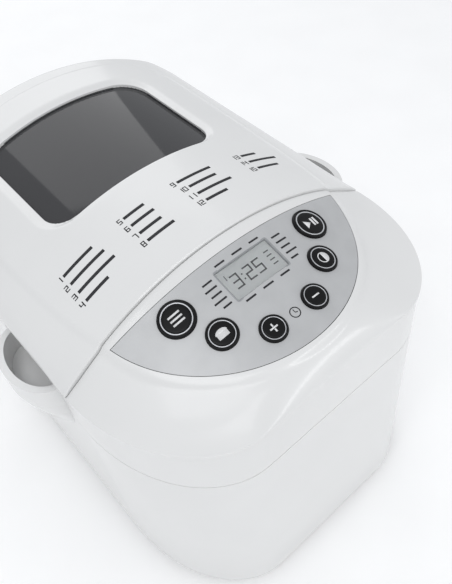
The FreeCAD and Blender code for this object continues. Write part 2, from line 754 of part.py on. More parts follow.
def control_board():
    under = -BOARD_DEPTH - BOARD_THICK
    plate = box(-BOARD_HALF_WIDTH, BOARD_HALF_WIDTH, BOARD_LOW, BOARD_HIGH, under, -BOARD_DEPTH)
    for x, y in BOARD_POSTS:
        plate = plate.cut(post(BOARD_SCREW + SEAT_GAP, x, y, under, -BOARD_DEPTH))
    return on_panel(plate)


def board_screws():
    low = -BOARD_DEPTH - BOARD_THICK
    length = BOARD_THICK + BOARD_SCREW_LENGTH
    screws = []
    for x, y in BOARD_POSTS:
        screws.append(on_panel(screw(BOARD_SCREW, BOARD_SCREW_HEAD, x, y, low, length, -1)))
    return group(screws)


def stem_end(x):
    """How far down its axis a button's stem reaches, just clear of its switch."""
    lean = math.asin(x / ARCH_RADIUS)
    clear = BUTTON_TRAVEL + STEM_GAP
    depth = BOARD_DEPTH - SWITCH_BODY - SWITCH_PLUNGER - clear - crown_drop(x)
    return -(depth - STEM_RADIUS * abs(math.sin(lean))) / math.cos(lean)


def tact_switches():
    switches = []
    for x, y, _ in BUTTONS.values():
        foot, normal = button_axis(x, y)
        reach = (foot.z + BOARD_DEPTH - SWITCH_BODY) / normal.z
        at = foot.x - normal.x * reach
        half = SWITCH_SIZE / 2
        base = box(at - half, at + half, y - half, y + half, -BOARD_DEPTH, -BOARD_DEPTH + SWITCH_BODY)
        top = -BOARD_DEPTH + SWITCH_BODY
        switches.append(on_panel(fuse([base, post(PLUNGER_RADIUS, at, y, top, top + SWITCH_PLUNGER)])))
    return group(switches)


def button(name):
    x, y, radius = BUTTONS[name]
    under = -SKIN_BOTTOM - crown_drop(radius) - FLANGE_GAP
    cap = along_button(x, y, radius, under, BUTTON_PROUD)
    flange = along_button(x, y, radius + BUTTON_FLANGE, under - FLANGE_THICK, under)
    stem = along_button(x, y, STEM_RADIUS, stem_end(x), under - FLANGE_THICK)
    return fuse([cap, flange, stem])


def window_outline(margin):
    return rounded(
        WINDOW_HALF_WIDTH + margin,
        WINDOW_LENGTH / 2 + margin,
        WINDOW_CORNER + margin,
        WINDOW_FRONT + WINDOW_LENGTH / 2,
        PARTING - CUT_SPARE,
        DISPLAY_HEIGHT + ROOF_ROOM,
    )


def lid_band(margin, top, bottom):
    """A curved slab of the window's outline between two depths under the lid's surface."""
    return window_outline(margin).common(lid_arch(top)).cut(lid_arch(bottom))


def lid_block(inset, drop, bottom):
    block = casing(inset, bottom, DISPLAY_HEIGHT + ROOF_ROOM)
    front = SEAM + SEAM_GAP + inset
    block = block.common(box(-FAR, FAR, front, LID_REAR - inset, 0, FAR))
    return block.common(lid_arch(drop))


def lid_field():
    """The raised middle of the lid, widening towards the back."""
    front = SEAM + SEAM_GAP
    narrow = PANEL_RADIUS + LID_FIELD_FRONT
    wide = PANEL_RADIUS + LID_FIELD_WIDEN
    rear = LID_REAR - LID_FIELD_REAR
    z = PARTING + LID_FIELD_BASE
    corners = [vec(-narrow, front, z), vec(narrow, front, z), vec(wide, rear, z), vec(-wide, rear, z)]
    outline = Part.makePolygon(corners + corners[:1])
    prism = Part.Face(outline).extrude(vec(0, 0, 2 * HEADROOM))
    return prism.common(lid_arch(0)).cut(lid_arch(FIELD_STEP + WALL / 2))


def lid_screw_places():
    x = HALF_WIDTH - LINER_MARGIN - LID_SCREW_INSET
    rows = (SEAM + LID_SCREW_FRONT, TUB_CENTRE, LID_REAR - LID_SCREW_REAR)
    return [(side * x, y) for side in SIDES for y in rows]


def knuckle(side, radius, width):
    start = vec(side * KNUCKLE_OFFSET - width / 2, HINGE_Y, HINGE_Z)
    return Part.makeCylinder(radius, width, start, vec(1, 0, 0))


def lid_shell():
    shell = fuse([lid_block(0, FIELD_STEP, PARTING + LID_GAP), lid_field()])
    shell = shell.cut(lid_block(WALL, SKIN_BOTTOM, PARTING))
    shell = shell.cut(window_outline(0))
    pieces = [shell]
    for side in SIDES:
        x = side * KNUCKLE_OFFSET
        half = KNUCKLE_WIDTH / 2
        pieces.append(knuckle(side, KNUCKLE_RADIUS, KNUCKLE_WIDTH))
        tall = KNUCKLE_RADIUS - KNUCKLE_TRIM
        pieces.append(box(x - half, x + half, LID_REAR - WALL / 2, HINGE_Y, HINGE_Z - tall, HINGE_Z + tall))
    roof = lid_arch(FIELD_STEP + WALL / 2)
    for x, y in lid_screw_places():
        pillar = post(LID_POST_RADIUS, x, y, PARTING + LINER_RISE + LINER_THICK, DISPLAY_HEIGHT + HEADROOM)
        pieces.append(pillar.common(roof))
    whole = fuse(pieces)
    for side in SIDES:
        whole = whole.cut(knuckle(side, PIN_RADIUS + RUNNING_GAP, KNUCKLE_WIDTH + 2 * CLEAR))
    for x, y in lid_screw_places():
        bottom = PARTING + LINER_RISE + LINER_THICK
        whole = whole.cut(post(SMALL_SCREW + SEAT_GAP, x, y, bottom - CLEAR, bottom + LID_POST_HOLE))
    return whole


def window_gasket():
    ring_outer = lid_band(WINDOW_REBATE, SKIN_BOTTOM, SKIN_BOTTOM + GASKET_THICK)
    return ring_outer.cut(window_outline(0))


def viewing_window():
    top = SKIN_BOTTOM + GASKET_THICK
    return lid_band(WINDOW_REBATE, top, top + GLASS_THICK)


def window_clamp():
    top = SKIN_BOTTOM + GASKET_THICK + GLASS_THICK
    return lid_band(WINDOW_REBATE, top, top + CLAMP_THICK).cut(window_outline(-CLAMP_LIP))


def lid_liner():
    inset = WALL + LINER_MARGIN
    bottom = PARTING + LINER_RISE
    plate = casing(inset, bottom, bottom + LINER_THICK)
    plate = plate.common(box(-FAR, FAR, SEAM + SEAM_GAP + inset, LID_REAR - inset, 0, FAR))
    plate = plate.cut(window_outline(-LINER_LIP))
    for x, y in lid_screw_places():
        plate = plate.cut(post(SMALL_SCREW + SEAT_GAP, x, y, bottom, bottom + LINER_THICK))
    return plate


def inner_window():
    bottom = PARTING + LINER_RISE + LINER_THICK
    pane = window_outline(-CLAMP_LIP)
    return pane.common(box(-FAR, FAR, -FAR, FAR, bottom, bottom + GLASS_THICK))


def lid_screws():
    seat = PARTING + LINER_RISE
    places = lid_screw_places()
    return group([screw(SMALL_SCREW, SMALL_HEAD, x, y, seat, SHORT_SCREW, -1) for x, y in places])


def hinge_brackets():
    """Two upright ears beside each knuckle, round about the hinge axis so that the lid's wall passes."""
    brackets = []
    for side in SIDES:
        middle = side * KNUCKLE_OFFSET
        inner = KNUCKLE_WIDTH / 2 + EAR_GAP
        for low in (middle - inner - BRACKET_EAR, middle + inner):
            start = vec(low, HINGE_Y, HINGE_Z)
            upright = box(
                low, low + BRACKET_EAR, HINGE_Y - EAR_RADIUS, HINGE_Y + EAR_RADIUS, PARTING, HINGE_Z
            )
            head = Part.makeCylinder(EAR_RADIUS, BRACKET_EAR, start, vec(1, 0, 0))
            hole = Part.makeCylinder(PIN_RADIUS + SEAT_GAP, BRACKET_EAR, start, vec(1, 0, 0))
            brackets.append(fuse([upright, head]).cut(hole))
    return group(brackets)


def hinge_pins():
    length = KNUCKLE_WIDTH + 2 * (EAR_GAP + BRACKET_EAR)
    return group([knuckle(side, PIN_RADIUS, length) for side in SIDES])


def tub_body(inset, z0, z1):
    return rounded(TUB_HALF_WIDTH - inset, TUB_HALF_DEPTH - inset, TUB_CORNER - inset, TUB_CENTRE, z0, z1)


def baking_chamber():
    flange = tub_body(-TUB_FLANGE, PARTING, TUB_TOP)
    tub = fuse([tub_body(0, TUB_FLOOR, TUB_TOP), flange])
    tub = tub.cut(tub_body(TUB_WALL, TUB_FLOOR + TUB_WALL, TUB_TOP + CLEAR))
    tub = tub.cut(post(BEARING_RADIUS + SEAT_GAP, 0, TUB_CENTRE, TUB_FLOOR - CLEAR, TUB_FLOOR + 3 * CLEAR))
    for x, y in chamber_screw_places():
        tub = tub.cut(post(SMALL_SCREW + SEAT_GAP, x, y, PARTING - CLEAR, TUB_TOP + CLEAR))
    for bush in terminal_bushes(SEAT_GAP):
        tub = tub.cut(bush)
    return tub.cut(sensor_body(SEAT_GAP))


def chamber_screws():
    screws = []
    for x, y in chamber_screw_places():
        screws.append(screw(SMALL_SCREW, SMALL_HEAD, x, y, TUB_TOP, SHORT_SCREW, 1))
    return group(screws)


def terminal_bushes(gap):
    z = TUB_FLOOR + ELEMENT_HEIGHT
    wall = TUB_CENTRE + TUB_HALF_DEPTH
    start = wall - TUB_WALL - BUSH_INSIDE
    bushes = []
    for side in SIDES:
        foot = vec(side * TERMINAL_OFFSET, start, z)
        bushes.append(Part.makeCylinder(BUSH_RADIUS + gap, BUSH_LENGTH, foot, vec(0, 1, 0)))
    return bushes


def ceramic_bushes():
    z = TUB_FLOOR + ELEMENT_HEIGHT
    whole = []
    for side, bush in zip(SIDES, terminal_bushes(0)):
        start = vec(side * TERMINAL_OFFSET, 0, z)
        whole.append(bush.cut(Part.makeCylinder(ELEMENT_RADIUS + SEAT_GAP, FAR, start, vec(0, 1, 0))))
    return group(whole)


def rounded_path(points, radii):
    """Straight runs joined by tangent arcs."""
    edges = []
    last = points[0]
    for before, corner, after, radius in zip(points, points[1:], points[2:], radii):
        back = (before - corner).normalize()
        ahead = (after - corner).normalize()
        half = back.getAngle(ahead) / 2
        reach = radius / math.tan(half)
        middle = (back + ahead).normalize()
        start = corner + back * reach
        end = corner + ahead * reach
        apex = corner + middle * (radius / math.sin(half) - radius)
        edges.append(Part.LineSegment(last, start).toShape())
        edges.append(Part.Arc(start, apex, end).toShape())
        last = end
    edges.append(Part.LineSegment(last, points[-1]).toShape())
    return Part.Wire(edges)


def swept_rod(points, radii, radius):
    path = rounded_path(points, radii)
    direction = points[1] - points[0]
    circle = Part.Circle(points[0], direction, radius)
    profile = Part.Wire(circle.toShape())
    return path.makePipeShell([profile], True, False)


def heating_element():
    z = TUB_FLOOR + ELEMENT_HEIGHT
    x = TUB_HALF_WIDTH - ELEMENT_SIDE_GAP
    front = TUB_CENTRE - TUB_HALF_DEPTH + ELEMENT_SIDE_GAP
    rear = TUB_CENTRE + TUB_HALF_DEPTH - ELEMENT_SIDE_GAP - ELEMENT_REAR_SPARE
    out = TUB_CENTRE + TUB_HALF_DEPTH + TERMINAL_OUT
    points = [
        vec(-TERMINAL_OFFSET, out, z),
        vec(-TERMINAL_OFFSET, rear, z),
        vec(-x, rear, z),
        vec(-x, front, z),
        vec(x, front, z),
        vec(x, rear, z),
        vec(TERMINAL_OFFSET, rear, z),
        vec(TERMINAL_OFFSET, out, z),
    ]
    radii = [TERMINAL_BEND] + [ELEMENT_CORNER] * 4 + [TERMINAL_BEND]
    return swept_rod(points, radii, ELEMENT_RADIUS)


def sensor_body(gap):
    start = vec(SENSOR_X, TUB_FRONT - SENSOR_OUT, SENSOR_HEIGHT)
    return Part.makeCylinder(SENSOR_RADIUS + gap, SENSOR_LENGTH, start, vec(0, 1, 0))


def temperature_sensor():
    return sensor_body(0)


def thermal_fuse():
    right = FUSE_X + FUSE_LENGTH
    return box(FUSE_X, right, TUB_FRONT - FUSE_DEPTH, TUB_FRONT, FUSE_LOW, FUSE_LOW + FUSE_HEIGHT)


def heat_shield():
    y = TUB_FRONT - SHIELD_GAP
    back = y + SHIELD_THICK
    half = HALF_WIDTH - SHIELD_SIDE_ROOM
    plate = box(-half, half, y, back, BASE_TOP, DECK_UNDER - SHIELD_TOP_ROOM)
    slot_half = PULLEY_RADIUS + SHIELD_SLOT_SIDE
    slot_top = BELT_BOTTOM + BELT_WIDTH + SHIELD_SLOT_TOP
    return plate.cut(box(-slot_half, slot_half, y - CLEAR, back + CLEAR, BASE_TOP, slot_top))


def chassis_frame():
    half = CHASSIS_HALF
    leg = CHASSIS_LEG
    edge = half + leg
    top = TUB_FLOOR
    plate = box(-edge, edge, TUB_CENTRE - edge, TUB_CENTRE + edge, top - SHEET, top)
    hole = post(BEARING_RADIUS + SEAT_GAP, 0, TUB_CENTRE, top - SHEET, top)
    legs = []
    for side in SIDES:
        for end in SIDES:
            x = side * half
            y = TUB_CENTRE + end * half
            legs.append(box(x - leg, x + leg, y - leg, y + leg, BASE_TOP, top - SHEET))
    return fuse([plate.cut(hole)] + legs)


def shaft_bearing():
    top = TUB_FLOOR + TUB_WALL
    tube = ring(BEARING_RADIUS, SHAFT_RADIUS + RUNNING_GAP, 0, TUB_CENTRE, TUB_FLOOR - BEARING_LENGTH, top)
    flange = ring(BEARING_FLANGE, SHAFT_RADIUS + RUNNING_GAP, 0, TUB_CENTRE, top, top + BEARING_FLANGE_THICK)
    return fuse([tube, flange])


def coupling_bottom():
    return TUB_FLOOR + TUB_WALL + COUPLING_RISE


def drive_shaft():
    return post(SHAFT_RADIUS, 0, TUB_CENTRE, SHAFT_BOTTOM, coupling_bottom() + COUPLING_THICK)


def drive_coupling():
    low = coupling_bottom()
    top = low + COUPLING_THICK
    disc = ring(COUPLING_RADIUS, SHAFT_RADIUS + SEAT_GAP, 0, TUB_CENTRE, low, top)
    half = DOG_WIDTH / 2
    dogs = []
    for side in SIDES:
        y = TUB_CENTRE + side * (COUPLING_RADIUS - half - DOG_INSET)
        dogs.append(box(-half, half, y - half, y + half, top, top + DOG_HEIGHT))
    return fuse([disc] + dogs)


def pulley(radius, bore, y):
    low = BELT_BOTTOM - FLANGE_PLATE - CLEAR
    top = BELT_BOTTOM + BELT_WIDTH + FLANGE_PLATE + CLEAR
    drum = post(radius, 0, y, low, top)
    rims = [
        post(radius + PULLEY_FLANGE, 0, y, low, low + FLANGE_PLATE),
        post(radius + PULLEY_FLANGE, 0, y, top - FLANGE_PLATE, top),
    ]
    return fuse([drum] + rims).cut(post(bore, 0, y, low - CLEAR, top + CLEAR))


def drive_pulley():
    wheel = pulley(PULLEY_RADIUS, SHAFT_RADIUS + SEAT_GAP, TUB_CENTRE)
    for index in range(SPOKE_HOLES):
        angle = 2 * math.pi * index / SPOKE_HOLES
        x = SPOKE_CIRCLE * math.cos(angle)
        y = TUB_CENTRE + SPOKE_CIRCLE * math.sin(angle)
        wheel = wheel.cut(post(SPOKE_RADIUS, x, y, 0, TUB_FLOOR))
    return wheel


def motor_pulley():
    return pulley(MOTOR_PULLEY_RADIUS, MOTOR_SHAFT + SEAT_GAP, MOTOR_CENTRE)


def belt_outline(extra):
    """The loop round both pulleys, stood out from their drums by extra."""
    big = PULLEY_RADIUS + extra
    small = MOTOR_PULLEY_RADIUS + extra
    span = TUB_CENTRE - MOTOR_CENTRE
    lean = math.asin((big - small) / span)
    across = math.cos(lean)
    along = -math.sin(lean)
    z = BELT_BOTTOM

    def at(radius, centre, x, y):
        return vec(radius * x, centre + radius * y, z)

    right = (at(big, TUB_CENTRE, across, along), at(small, MOTOR_CENTRE, across, along))
    left = (at(big, TUB_CENTRE, -across, along), at(small, MOTOR_CENTRE, -across, along))
    edges = [
        Part.Arc(right[0], at(big, TUB_CENTRE, 0, 1), left[0]).toShape(),
        Part.LineSegment(left[0], left[1]).toShape(),
        Part.Arc(left[1], at(small, MOTOR_CENTRE, 0, -1), right[1]).toShape(),
        Part.LineSegment(right[1], right[0]).toShape(),
    ]
    return Part.Face(Part.Wire(edges)).extrude(vec(0, 0, BELT_WIDTH))


def drive_belt():
    return belt_outline(BELT_GAP + BELT_THICK).cut(belt_outline(BELT_GAP))


def motor_case():
    top = MOTOR_BOTTOM + MOTOR_HEIGHT
    case = post(MOTOR_RADIUS, 0, MOTOR_CENTRE, MOTOR_BOTTOM, top)
    inside = MOTOR_RADIUS - MOTOR_WALL
    case = case.cut(post(inside, 0, MOTOR_CENTRE, MOTOR_BOTTOM + MOTOR_END_PLATE, top - MOTOR_END_PLATE))
    return case.cut(post(MOTOR_SHAFT + RUNNING_GAP, 0, MOTOR_CENTRE, MOTOR_BOTTOM - CLEAR, top + CLEAR))


def motor_stator():
    low = MOTOR_BOTTOM + STATOR_INSET
    top = MOTOR_BOTTOM + MOTOR_HEIGHT - STATOR_INSET
    return ring(MOTOR_RADIUS - MOTOR_WALL - SEAT_GAP, ROTOR_RADIUS + AIR_GAP, 0, MOTOR_CENTRE, low, top)


def motor_rotor():
    low = MOTOR_BOTTOM + ROTOR_INSET
    top = MOTOR_BOTTOM + MOTOR_HEIGHT - ROTOR_INSET
    core = post(ROTOR_RADIUS, 0, MOTOR_CENTRE, low, top)
    shaft = post(MOTOR_SHAFT, 0, MOTOR_CENTRE, SHAFT_BOTTOM, MOTOR_BOTTOM + MOTOR_HEIGHT + MOTOR_SHAFT_SPARE)
    return fuse([core, shaft])


def motor_leg_places():
    reach = MOTOR_LEG_SPREAD
    return [(side * reach, MOTOR_CENTRE + end * reach) for side in SIDES for end in SIDES]


def motor_screw_places():
    reach = MOTOR_SCREW_SPREAD
    return [(side * reach, MOTOR_CENTRE + end * reach) for side in SIDES for end in SIDES]


def motor_bracket():
    top = MOTOR_BOTTOM
    half = BRACKET_HALF
    plate = box(-half, half, MOTOR_CENTRE - half, MOTOR_CENTRE + half, top - SHEET, top)
    plate = plate.cut(post(BRACKET_HOLE, 0, MOTOR_CENTRE, top - SHEET, top))
    legs = [post(MOTOR_LEG_RADIUS, x, y, BASE_TOP, top - SHEET) for x, y in motor_leg_places()]
    whole = fuse([plate] + legs)
    for x, y in motor_screw_places():
        whole = whole.cut(post(SMALL_SCREW + SEAT_GAP, x, y, top - SHEET - CLEAR, top))
    return whole


def motor_screws():
    screws = []
    for x, y in motor_screw_places():
        screws.append(screw(SMALL_SCREW, SMALL_HEAD, x, y, MOTOR_BOTTOM - SHEET, SHEET, -1))
    return group(screws)


def pan_socket():
    low = TUB_FLOOR + TUB_WALL
    inner = FOOT_RING_RADIUS + SOCKET_GAP
    return ring(inner + SOCKET_WALL, inner, 0, TUB_CENTRE, low, low + SOCKET_HEIGHT)


def pan_clips():
    low = TUB_FLOOR + TUB_WALL
    inner = FOOT_RING_RADIUS + SOCKET_GAP + SOCKET_WALL + CLIP_GAP
    front = TUB_CENTRE - CLIP_HALF
    back = TUB_CENTRE + CLIP_HALF
    clips = []
    for side in SIDES:
        near = side * inner
        foot_end = side * (inner + CLIP_FOOT)
        blade_end = side * (inner + CLIP_THICK)
        foot = box(min(near, foot_end), max(near, foot_end), front, back, low, low + CLIP_THICK)
        blade = box(min(near, blade_end), max(near, blade_end), front, back, low, PAN_FLOOR - CLIP_DROP)
        clips.append(fuse([foot, blade]))
    return group(clips)


def handle_height():
    return PAN_TOP + HANDLE_RISE


def pan_block(inset, z0, z1):
    return rounded(PAN_HALF_WIDTH - inset, PAN_HALF_DEPTH - inset, PAN_CORNER - inset, TUB_CENTRE, z0, z1)


def bread_pan():
    rim = pan_block(-PAN_RIM, PAN_TOP - PAN_WALL, PAN_TOP)
    foot_low = PAN_FLOOR - FOOT_RING_DROP
    foot = ring(FOOT_RING_RADIUS, FOOT_RING_RADIUS - FOOT_RING_WALL, 0, TUB_CENTRE, foot_low, PAN_FLOOR)
    pieces = [pan_block(0, PAN_FLOOR, PAN_TOP), rim, foot]
    front = TUB_CENTRE - EAR_HALF
    back = TUB_CENTRE + EAR_HALF
    for side in SIDES:
        near = side * (PAN_HALF_WIDTH - PAN_WALL / 2)
        far = side * (PAN_HALF_WIDTH + EAR_THICK)
        left = min(near, far)
        right = max(near, far)
        pieces.append(box(left, right, front, back, PAN_TOP - EAR_DROP, handle_height() + EAR_TOP))
    pan = fuse(pieces).cut(pan_block(PAN_WALL, PAN_FLOOR + PAN_WALL, PAN_TOP + 2 * CUT_SPARE))
    boss = post(PAN_BOSS_RADIUS, 0, TUB_CENTRE, PAN_FLOOR - PAN_BOSS_DROP, PAN_FLOOR + PAN_BOSS_RISE)
    pan = fuse([pan, boss])
    low = PAN_FLOOR - 2 * CUT_SPARE
    pan = pan.cut(post(PAN_BUSH_RADIUS + SEAT_GAP, 0, TUB_CENTRE, low, PAN_FLOOR + 2 * CUT_SPARE))
    pivot = Part.makeCylinder(
        HANDLE_RADIUS + RUNNING_GAP, 2 * FAR, vec(-FAR, TUB_CENTRE, handle_height()), vec(1, 0, 0)
    )
    return pan.cut(pivot)


def pan_bearing():
    low = PAN_FLOOR - PAN_BOSS_DROP
    top = PAN_FLOOR + PAN_BOSS_RISE
    return ring(PAN_BUSH_RADIUS, PAN_SHAFT_RADIUS + RUNNING_GAP, 0, TUB_CENTRE, low, top)


def pan_handle():
    x = PAN_HALF_WIDTH + HANDLE_OUT
    z = handle_height()
    end = PAN_HALF_WIDTH - PAN_WALL - HANDLE_END_GAP
    y_end = TUB_CENTRE - HANDLE_REACH
    points = [
        vec(-end, TUB_CENTRE, z),
        vec(-x, TUB_CENTRE, z),
        vec(-x, y_end, z),
        vec(x, y_end, z),
        vec(x, TUB_CENTRE, z),
        vec(end, TUB_CENTRE, z),
    ]
    return swept_rod(points, [HANDLE_END_BEND, HANDLE_BEND, HANDLE_BEND, HANDLE_END_BEND], HANDLE_RADIUS)


def pan_shaft():
    low = coupling_bottom() + COUPLING_THICK + DOG_REST
    spindle = post(PAN_SHAFT_RADIUS, 0, TUB_CENTRE, low, PAN_FLOOR + SPINDLE_RISE)
    half = COUPLING_RADIUS - DOG_INSET
    front = TUB_CENTRE - DOG_BAR_HALF
    back = TUB_CENTRE + DOG_BAR_HALF
    bar = box(-half, half, front, back, low, low + DOG_BAR_HEIGHT)
    return fuse([spindle, bar])


def kneading_paddle():
    low = PAN_FLOOR + PADDLE_LIFT
    top = low + PADDLE_HEIGHT
    hub = post(PADDLE_HUB, 0, TUB_CENTRE, low, top)
    half = PADDLE_THICK / 2
    blade = box(0, PADDLE_REACH, TUB_CENTRE - half, TUB_CENTRE + half, low, top - PADDLE_STEP)
    tip = []
    for edge in blade.Edges:
        bounds = edge.BoundBox
        if bounds.YLength > half and bounds.XMin > PADDLE_REACH - CLEAR and bounds.ZMin > low + CLEAR:
            tip.append(edge)
    blade = blade.makeFillet(PADDLE_ROUND, tip)
    bore = post(PAN_SHAFT_RADIUS + PADDLE_FIT, 0, TUB_CENTRE, low - CLEAR, top + CLEAR)
    return fuse([hub, blade]).cut(bore)


def on_power_board(share):
    """Where a share of the power board's half width lies across the machine."""
    return POWER_X + share * POWER_HALF_WIDTH


def power_board():
    front = POWER_Y - POWER_HALF_DEPTH
    back = POWER_Y + POWER_HALF_DEPTH
    pieces = [box(POWER_LEFT, POWER_RIGHT, front, back, POWER_Z, POWER_Z + BOARD_THICK)]
    for side in SIDES:
        for end in SIDES:
            x = on_power_board(side * POWER_POST_X)
            pieces.append(post(POWER_POST, x, POWER_Y + end * POWER_POST_Y, BASE_TOP, POWER_Z))
    return fuse(pieces)


def transformer():
    z = POWER_Z + BOARD_THICK
    left = on_power_board(TRANSFORMER_LEFT)
    right = on_power_board(TRANSFORMER_RIGHT)
    front = POWER_Y + TRANSFORMER_FRONT
    back = POWER_Y + TRANSFORMER_BACK
    return box(left, right, front, back, z, z + TRANSFORMER_HEIGHT)


def board_components():
    """The relay and the round capacitor, soldered beside the transformer."""
    z = POWER_Z + BOARD_THICK
    left = on_power_board(RELAY_LEFT)
    right = on_power_board(RELAY_RIGHT)
    relay = box(left, right, POWER_Y + RELAY_FRONT, POWER_Y + RELAY_BACK, z, z + RELAY_HEIGHT)
    x = on_power_board(CAPACITOR_X)
    capacitor = post(CAPACITOR_RADIUS, x, POWER_Y + CAPACITOR_Y, z, z + CAPACITOR_HEIGHT)
    return group([relay, capacitor])


def ribbon_cable():
    tilt = math.radians(PANEL_SLOPE)
    depth = BOARD_DEPTH + BOARD_THICK
    y = DISPLAY_Y + RIBBON_UP * math.cos(tilt) + depth * math.sin(tilt)
    z = DISPLAY_HEIGHT + RIBBON_UP * math.sin(tilt) - depth * math.cos(tilt)
    low = POWER_Z + BOARD_THICK
    return box(RIBBON_LEFT, RIBBON_RIGHT, y - RIBBON_HALF, y + RIBBON_HALF, low, z - RIBBON_GAP)


PIECES = {
    "base_pan": base_pan,
    "rubber_feet": rubber_feet,
    "base_screws": base_screws,
    "housing_shell": housing_shell,
    "finger_scoop_left": lambda: finger_scoop(-1),
    "finger_scoop_right": lambda: finger_scoop(1),
    "cord_gland": cord_gland,
    "top_cover": top_cover,
    "deck_ring": deck_ring,
    "control_panel": control_panel,
    "lcd_window": lcd_window,
    "lcd_module": lcd_module,
    "control_board": control_board,
    "board_screws": board_screws,
    "tact_switches": tact_switches,
    "ribbon_cable": ribbon_cable,
    "power_board": power_board,
    "transformer": transformer,
    "board_components": board_components,
    "baking_chamber": baking_chamber,
    "chamber_screws": chamber_screws,
    "heat_shield": heat_shield,
    "heating_element": heating_element,
    "ceramic_bushes": ceramic_bushes,
    "temperature_sensor": temperature_sensor,
    "thermal_fuse": thermal_fuse,
    "pan_socket": pan_socket,
    "pan_clips": pan_clips,
    "chassis_frame": chassis_frame,
    "shaft_bearing": shaft_bearing,
    "motor_case": motor_case,
    "motor_stator": motor_stator,
    "motor_bracket": motor_bracket,
    "motor_screws": motor_screws,
    "drive_belt": drive_belt,
    "hinge_brackets": hinge_brackets,
    "hinge_pins": hinge_pins,
    "lid_shell": lid_shell,
    "lid_liner": lid_liner,
    "viewing_window": viewing_window,
    "window_gasket": window_gasket,
    "window_clamp": window_clamp,
    "inner_window": inner_window,
    "lid_screws": lid_screws,
    "bread_pan": bread_pan,
    "pan_bearing": pan_bearing,
    "pan_handle": pan_handle,
    "pan_shaft": pan_shaft,
    "kneading_paddle": kneading_paddle,
    "drive_shaft": drive_shaft,
    "drive_coupling": drive_coupling,
    "drive_pulley": drive_pulley,
    "motor_rotor": motor_rotor,
    "motor_pulley": motor_pulley,
}


def main():
    os.makedirs("parts", exist_ok=True)
    for name, make in PIECES.items():
        make().exportStep("parts/" + name + ".step")
    for name in BUTTONS:
        button(name).exportStep("parts/" + name + ".step")


main()
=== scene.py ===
"""Looks for the bread machine: moulded casing, control panel, lid with its window, marks and finishes."""

import json
import math

import bmesh
import bpy
from mathutils import Matrix, Vector


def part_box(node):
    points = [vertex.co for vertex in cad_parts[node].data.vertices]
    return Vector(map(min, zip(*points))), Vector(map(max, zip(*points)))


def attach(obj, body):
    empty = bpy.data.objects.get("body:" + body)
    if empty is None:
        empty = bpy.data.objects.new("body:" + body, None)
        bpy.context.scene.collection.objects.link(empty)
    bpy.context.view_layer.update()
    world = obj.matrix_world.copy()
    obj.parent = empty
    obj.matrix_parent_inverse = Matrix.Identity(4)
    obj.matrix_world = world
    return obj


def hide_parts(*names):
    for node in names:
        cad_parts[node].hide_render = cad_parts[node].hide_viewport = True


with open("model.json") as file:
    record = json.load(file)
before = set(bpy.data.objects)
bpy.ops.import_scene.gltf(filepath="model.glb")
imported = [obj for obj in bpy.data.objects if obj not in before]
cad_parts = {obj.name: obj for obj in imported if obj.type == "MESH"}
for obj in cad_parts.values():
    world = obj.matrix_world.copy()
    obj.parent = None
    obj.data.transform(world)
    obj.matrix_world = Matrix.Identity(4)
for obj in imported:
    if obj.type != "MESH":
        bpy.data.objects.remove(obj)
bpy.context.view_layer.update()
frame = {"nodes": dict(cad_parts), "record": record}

MM = 0.001
SIDES = (-1, 1)

# The casing, from the frame
COVER_LOW, COVER_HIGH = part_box("top_cover")
DECK_LOW, DECK_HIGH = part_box("deck_ring")
LID_LOW, LID_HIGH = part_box("lid_shell")
HALF_WIDTH = COVER_HIGH.x
FRONT = COVER_LOW.y
REAR = DECK_HIGH.y
SEAM = DECK_LOW.y
PARTING = DECK_HIGH.z
DECK_UNDER = DECK_LOW.z
LID_FRONT = SEAM + 0.8 * MM
LID_BOTTOM = PARTING + 0.6 * MM
LID_REAR = REAR - 12.5 * MM

# The arched top
ARCH = 225 * MM
PANEL_SLOPE = math.radians(18)
LID_SLOPE = math.radians(4)
DISPLAY_Y = FRONT + 75 * MM
DISPLAY_Z = PARTING + 37.5 * MM
LID_RISE = 11 * MM
SKIN = 2.2 * MM
SKIRT_LEVELS = 4
CORNER_WIDTH = 74 * MM
CORNER_DEPTH = 108 * MM
CORNER_X = HALF_WIDTH - CORNER_WIDTH
CORNER_Y = FRONT + CORNER_DEPTH
REAR_CORNER = 45 * MM
EDGE_HEIGHT = PARTING + 0.4 * MM
DEEP_SHARE = 0.3
DEEP_INSIDE = 50 * MM

# The raised fields of the shoulder and the lid, each inside a soft crease
FIELD_STEP = 1.8 * MM
CREASE_WIDTH = 5 * MM
SHOULDER_FIELD_X = 101.6 * MM
SHOULDER_FIELD_UP = 105 * MM
SHOULDER_FIELD_REACH = 103 * MM
LID_FIELD_X = 101 * MM
LID_FIELD_SPREAD = 11.5 * MM
LID_FIELD_SPREAD_LENGTH = 50 * MM
LID_FIELD_AHEAD = 60 * MM
LID_FIELD_REAR = LID_REAR - 20 * MM
LID_FIELD_CORNER = 40 * MM

# The shoulder's rolled edge, rounder towards the front
SHOULDER_LIFT = 0.5 * MM
SHOULDER_LEAN = 0.16
SHOULDER_BLEND = 7 * MM
SHOULDER_ROUND = 7 * MM
SHOULDER_ROUND_MORE = 11 * MM
SHOULDER_ROUND_LENGTH = 90 * MM
SEAM_FALL = 0.8 * MM
SEAM_ROUND = 1.0 * MM

# The lid's rolled edges, and the least that its top stands over its bottom
LID_SIDE_FALL = 3.0 * MM
LID_SIDE_ROUND = 8 * MM
LID_REAR_FALL = 9.0 * MM
LID_REAR_ROUND = 9 * MM
LID_FRONT_FALL = 1.0 * MM
LID_FRONT_ROUND = 1.2 * MM
LID_LEAST = 0.8 * MM

